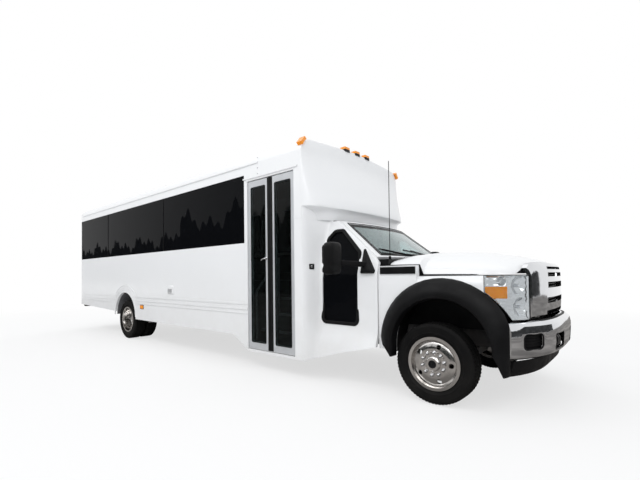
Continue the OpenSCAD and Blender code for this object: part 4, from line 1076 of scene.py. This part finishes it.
def driver_seat():
    b = Build().box((-1480, 250, 751), (-1130, 590, 985))
    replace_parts(b.done("driver_seat_pedestal", "bus", "cabin", bevel=12), "driver_seat")
    b = Build()
    pillow(b, (-1558, 182, 992), (-1112, 658, 1146), 1, 3, 0.3)
    b.done("driver_seat_cushion", "bus", "hide")
    b = Build()
    pillow(b, (-60, 192, 0), (58, 648, 560), 1, 3, 0.3, top=0)
    lean = Matrix.Rotation(math.radians(-7), 4, "Y")
    place = Matrix.Translation(P(-1502, 0, 1152)) @ lean @ Matrix.Translation(-P(0, 0, 0))
    b.verts = [place @ v for v in b.verts]
    b.done("driver_seat_back", "bus", "hide")
    b = Build()
    pillow(b, (-1626, 300, 1728), (-1540, 540, 1880), 1, 0, 0.4, top=0)
    b.done("driver_headrest", "bus", "hide")
    b = Build()
    for y in (370, 470):
        b.tube([P(-1575, y, 1700), P(-1583, y, 1760)], 6, 10)
    b.done("headrest_posts", "bus", "steel")


# Stage

# The camera fitted to the photo: turn in degrees, place in metres, focal length and shift in pixels
YAW, PITCH, ROLL = 131.32, 1.09, -0.67
CAMERA_AT = (5.790, -4.689, 1.295)
FOCAL, SHIFT, PHOTO_WIDTH, SENSOR = 378.6, (10.8, 28.2), 640, 36


def camera():
    yaw, pitch, roll = (math.radians(a) for a in (YAW, PITCH, ROLL))
    f = Vector((math.cos(yaw) * math.cos(pitch), math.sin(yaw) * math.cos(pitch), math.sin(pitch)))
    r = f.cross(Vector((0, 0, 1))).normalized()
    u = r.cross(f)
    c, s = math.cos(roll), math.sin(roll)
    right, up = r * c + u * s, u * c - r * s
    data = bpy.data.cameras.new("camera")
    data.sensor_fit, data.sensor_width, data.lens = "HORIZONTAL", SENSOR, FOCAL / PHOTO_WIDTH * SENSOR
    data.shift_x, data.shift_y = (p / PHOTO_WIDTH for p in SHIFT)
    data.clip_start, data.clip_end = 0.05, 200
    cam = add_object("camera", data)
    m = Matrix((right, up, -f)).transposed().to_4x4()
    m.translation = Vector(CAMERA_AT)
    cam.matrix_world = m
    bpy.context.scene.camera = cam


def seen_rays(tree):
    """1 for camera, glossy and transmitted rays, which see plain white."""
    rays = tree.nodes.new("ShaderNodeLightPath")
    total = rays.outputs["Is Camera Ray"]
    for name in ("Is Glossy Ray", "Is Transmission Ray"):
        m = tree.nodes.new("ShaderNodeMath")
        m.operation = "MAXIMUM"
        tree.links.new(total, m.inputs[0])
        tree.links.new(rays.outputs[name], m.inputs[1])
        total = m.outputs[0]
    return total


def studio_world():
    """Soft light on the object, and white for what is seen behind it."""
    world = bpy.data.worlds.new("studio")
    bpy.context.scene.world = world
    world.use_nodes = True
    tree = world.node_tree
    tree.nodes.clear()
    out, blend = tree.nodes.new("ShaderNodeOutputWorld"), tree.nodes.new("ShaderNodeMixShader")
    tree.links.new(seen_rays(tree), blend.inputs[0])
    for socket, colour, strength in ((1, (0.95, 0.97, 1, 1), 0.76), (2, (1, 1, 1, 1), 1.0)):
        back = tree.nodes.new("ShaderNodeBackground")
        back.inputs["Color"].default_value = colour
        back.inputs["Strength"].default_value = strength
        tree.links.new(back.outputs[0], blend.inputs[socket])
    tree.links.new(blend.outputs[0], out.inputs["Surface"])


def studio_floor():
    """A pale floor: white far from the object, so that no horizon shows, and shaded near it."""
    mesh = bpy.data.meshes.new("floor")
    s = 60
    mesh.from_pydata([(-s, -s, 0), (s, -s, 0), (s, s, 0), (-s, s, 0)], [], [(0, 1, 2, 3)])
    floor = add_object("floor", mesh)
    floor.location.z = -0.001
    pale = Shader("pale_floor", (0.9, 0.9, 0.9), 0.9)
    glow, blend = pale.node("ShaderNodeEmission", Strength=1.0), pale.node("ShaderNodeMixShader")
    place = pale.node("ShaderNodeNewGeometry")
    reach = pale.node("ShaderNodeVectorMath", operation="LENGTH")
    share = pale.node("ShaderNodeMath", operation="MULTIPLY")
    pale.link(place.outputs["Position"], reach.inputs[0])
    pale.link(seen_rays(pale.tree), share.inputs[0])
    pale.link(pale.ramp(reach.outputs["Value"], 6.0, 13.0, 0.66, 1.0), share.inputs[1])
    pale.link(share.outputs[0], blend.inputs[0])
    pale.link(pale.bsdf.outputs[0], blend.inputs[1])
    pale.link(glow.outputs[0], blend.inputs[2])
    pale.link(blend.outputs[0], pale.tree.nodes["Material Output"].inputs["Surface"])
    mesh.materials.append(pale.mat)


def reflected(name, mesh, colour):
    """A surface that shows only in glass, chrome and paint."""
    card = add_object(name, mesh)
    mesh.materials.append(Shader(name, colour, 0.9).vary(0.8, tuple(c * 2.0 for c in colour), 0.4, 0.65).mat)
    card.visible_camera = card.visible_diffuse = False
    card.visible_shadow = card.visible_transmission = False


def trees(name, start, end, height, colour):
    """A row of tree tops between two points of the ground."""
    n = 240
    low, high = [], []
    for k in range(n + 1):
        x, y = mix(start[0], end[0], k / n), mix(start[1], end[1], k / n)
        top = 0.8 + 0.14 * math.sin(k * 0.31) * math.sin(k * 0.11 + 1) + 0.05 * math.sin(k * 1.3)
        low.append((x, y, 0))
        high.append((x, y, height * top))
    mesh = bpy.data.meshes.new(name)
    mesh.from_pydata(low + high, [], [(k, k + 1, n + 2 + k, n + 1 + k) for k in range(n)])
    reflected(name, mesh, colour)


def area(name, at, to, size, power):
    """A rectangular lamp that looks from one point to another."""
    data = bpy.data.lights.new(name, "AREA")
    data.shape, data.size, data.size_y, data.energy = "RECTANGLE", size[0], size[1], power
    lamp = add_object(name, data)
    lamp.location = at
    lamp.rotation_euler = (Vector(to) - Vector(at)).to_track_quat("-Z", "Y").to_euler()


def stage():
    bpy.context.scene.view_settings.view_transform = "Standard"
    studio_world()
    studio_floor()
    area("key", (10.0, -9.0, 10.0), (1.0, 0, 1.2), (7, 7), 430)
    area("side", (-1.5, -9.5, 12.0), (-0.5, -1.2, 1.6), (14, 4), 500)
    area("top", (0.0, 0.0, 11.0), (0, 0, 0), (14, 6), 110)
    area("back", (-7.0, 9.0, 7.0), (0, 0, 1.0), (6, 5), 350)
    trees("far_trees", (-26, -16), (30, -16), 7.6, (0.012, 0.014, 0.013))
    trees("low_trees", (-110, -34), (-20, -34), 10.5, (0.012, 0.014, 0.013))
    trees("front_trees", (16, -14), (16, 14), 5.0, (0.03, 0.03, 0.03))
    ground = bpy.data.meshes.new("ground_card")
    corners = [(x, y, 0.004) for x, y in ((-20, -15.5), (15.5, -15.5), (15.5, 15.5), (-20, 15.5))]
    ground.from_pydata(corners, [], [(0, 1, 2, 3)])
    reflected("ground_card", ground, (0.18, 0.168, 0.156))


dress_cad()
wheels()
headlamps()
grille()
bumper()
cab()
mirrors()
front_cap()
cap_fillets()
entrance()
lamp_mounts()
seals_and_panels()
tail_lamp_rings()
side_vent()
wall_screws()
key_switch()
benches()
driver_seat()
camera()
stage()
